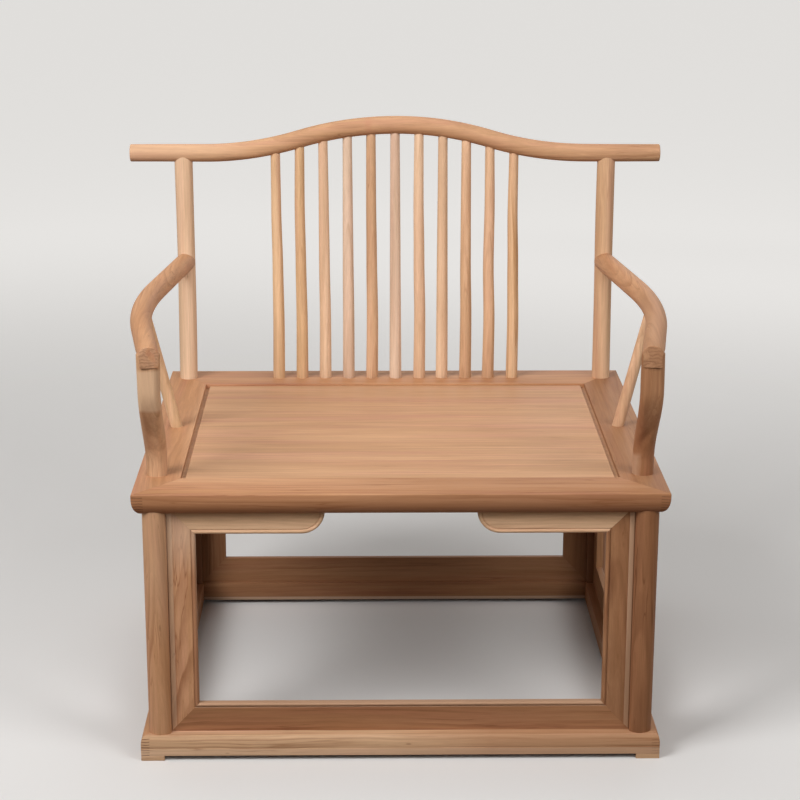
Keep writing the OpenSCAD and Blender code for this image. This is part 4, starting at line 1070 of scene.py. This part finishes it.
brace = {"footX": 362, "topX": 410.6, "y": 4, "foot": 20, "top": 18}
for sx, lr in ((-1, "left"), (1, "right")):
    braceMaterial = wood("brace" + lr.capitalize(), "z", (430*sx, 60, 0), "gold" if sx < 0 else "pale", 5, 0.4, 0.6, 14)
    bottom = seat["top"] - 2
    top = armHeight(brace["y"]) - 8
    stations = []
    for step in range(17):
        t = step/16
        size = brace["foot"] + (brace["top"] - brace["foot"])*t
        stations.append(((sx*(brace["footX"] + (brace["topX"] - brace["footX"])*t), brace["y"], bottom + (top - bottom)*t),
                         (0, 0, 1), (1, 0, 0), size/2, size/2))
    bm = sweepRod(roundedEnds(stations, 1.0), 28)
    finishPiece(bm, "brace" + lr.capitalize(), braceMaterial, "warm_wood", "brace_" + lr)
print("arms ready")


# Floor, light and camera

def floorMaterial():
    # pale to the camera and darker for the light that it throws back; far off it glows to the same tone
    material = bpy.data.materials.new("paleFloor")
    material.use_nodes = True
    tree = material.node_tree
    shader = tree.nodes["Principled BSDF"]
    path = tree.nodes.new("ShaderNodeLightPath")
    seen = mathNode(tree, "MAXIMUM", path.outputs["Is Camera Ray"], path.outputs["Is Glossy Ray"])
    seen = mathNode(tree, "MAXIMUM", seen, path.outputs["Is Transmission Ray"])
    tree.links.new(mixColour(tree, seen, stage["bounce"], stage["pale"]), shader.inputs["Base Color"])
    shader.inputs["Roughness"].default_value = 0.9
    shader.inputs["Specular IOR Level"].default_value = 0.1
    coords = tree.nodes.new("ShaderNodeTexCoord")
    away = vectorNode(tree, "LENGTH", vectorNode(tree, "SUBTRACT", coords.outputs["Object"], (0.0, 0.2, 0.0)))
    glow = mathNode(tree, "MULTIPLY", smoothStep(tree, away, stage["near"], stage["far"]), seen)
    shader.inputs["Emission Color"].default_value = (*stage["glow"], 1)
    tree.links.new(glow, shader.inputs["Emission Strength"])
    return material


stage = {"pale": (0.78, 0.77, 0.76), "bounce": (0.18, 0.145, 0.115), "near": 0.5, "far": 4.0, "glow": (0.6, 0.595, 0.585),
         "size": 30, "ambient": (0.16, 0.15, 0.138), "shown": (0.738, 0.723, 0.694)}
bm = bmesh.new()
bmesh.ops.create_grid(bm, x_segments=1, y_segments=1, size=stage["size"])
mesh = bpy.data.meshes.new("floor")
bm.to_mesh(mesh)
bm.free()
mesh.materials.append(floorMaterial())
floor = bpy.data.objects.new("floor", mesh)
bpy.context.scene.collection.objects.link(floor)

lamps = {
    "keyLeft": {"place": (-1.8, -1.6, 2.3), "aim": (0.0, 0.3, 0.8), "size": 1.4, "power": 21.3, "beam": 90},
    "keyRight": {"place": (1.8, -1.6, 2.3), "aim": (0.0, 0.3, 0.8), "size": 1.4, "power": 10.2, "beam": 90},
    "fillFront": {"place": (0.1, -3.0, 2.3), "aim": (0.0, 0.3, 0.8), "size": 2.0, "power": 6.8, "beam": 90},
    "top": {"place": (-0.2, 0.5, 2.8), "aim": (0.0, 0.2, 0.5), "size": 1.6, "power": 4.4, "beam": 95},
    "behind": {"place": (0.9, 3.2, 1.9), "aim": (0.0, 0.2, 0.5), "size": 2.2, "power": 7.8, "beam": 140},
}
for name, lamp in lamps.items():
    light = bpy.data.lights.new(name, "AREA")
    light.shape = "SQUARE"
    light.size = lamp["size"]
    light.energy = lamp["power"]
    light.spread = math.radians(lamp["beam"])
    holder = bpy.data.objects.new(name, light)
    holder.location = lamp["place"]
    holder.rotation_euler = (Vector(lamp["aim"]) - Vector(lamp["place"])).to_track_quat("-Z", "Y").to_euler()
    bpy.context.scene.collection.objects.link(holder)

world = bpy.data.worlds.new("studio")
world.use_nodes = True
tree = world.node_tree
path = tree.nodes.new("ShaderNodeLightPath")
seen = mathNode(tree, "MAXIMUM", path.outputs["Is Camera Ray"], path.outputs["Is Glossy Ray"])
seen = mathNode(tree, "MAXIMUM", seen, path.outputs["Is Transmission Ray"])
tree.links.new(mixColour(tree, seen, stage["ambient"], stage["shown"]), tree.nodes["Background"].inputs["Color"])
bpy.context.scene.world = world

camera = {"place": (-0.05301, -3.34466, 1.4027), "yaw": -0.01693, "pitch": -0.27113, "roll": 0.00226,
          "focal": 2123.75, "frame": 800}
cp, sp = math.cos(camera["pitch"]), math.sin(camera["pitch"])
forward = Vector((-math.sin(camera["yaw"])*cp, math.cos(camera["yaw"])*cp, sp))
right = Vector((math.cos(camera["yaw"]), math.sin(camera["yaw"]), 0))
up = right.cross(forward)
right, up = (right*math.cos(camera["roll"]) + up*math.sin(camera["roll"]),
             up*math.cos(camera["roll"]) - right*math.sin(camera["roll"]))
eye = bpy.data.cameras.new("photoView")
eye.sensor_width = 36
eye.lens = camera["focal"]/camera["frame"]*36
eye.clip_end = 100
eyeHolder = bpy.data.objects.new("photoView", eye)
eyeHolder.matrix_world = Matrix.Translation(camera["place"]) @ Matrix((right, up, -forward)).transposed().to_4x4()
bpy.context.scene.collection.objects.link(eyeHolder)
bpy.context.scene.camera = eyeHolder
bpy.context.scene.view_settings.view_transform = "Standard"
print("stage ready")

bpy.context.view_layer.update()
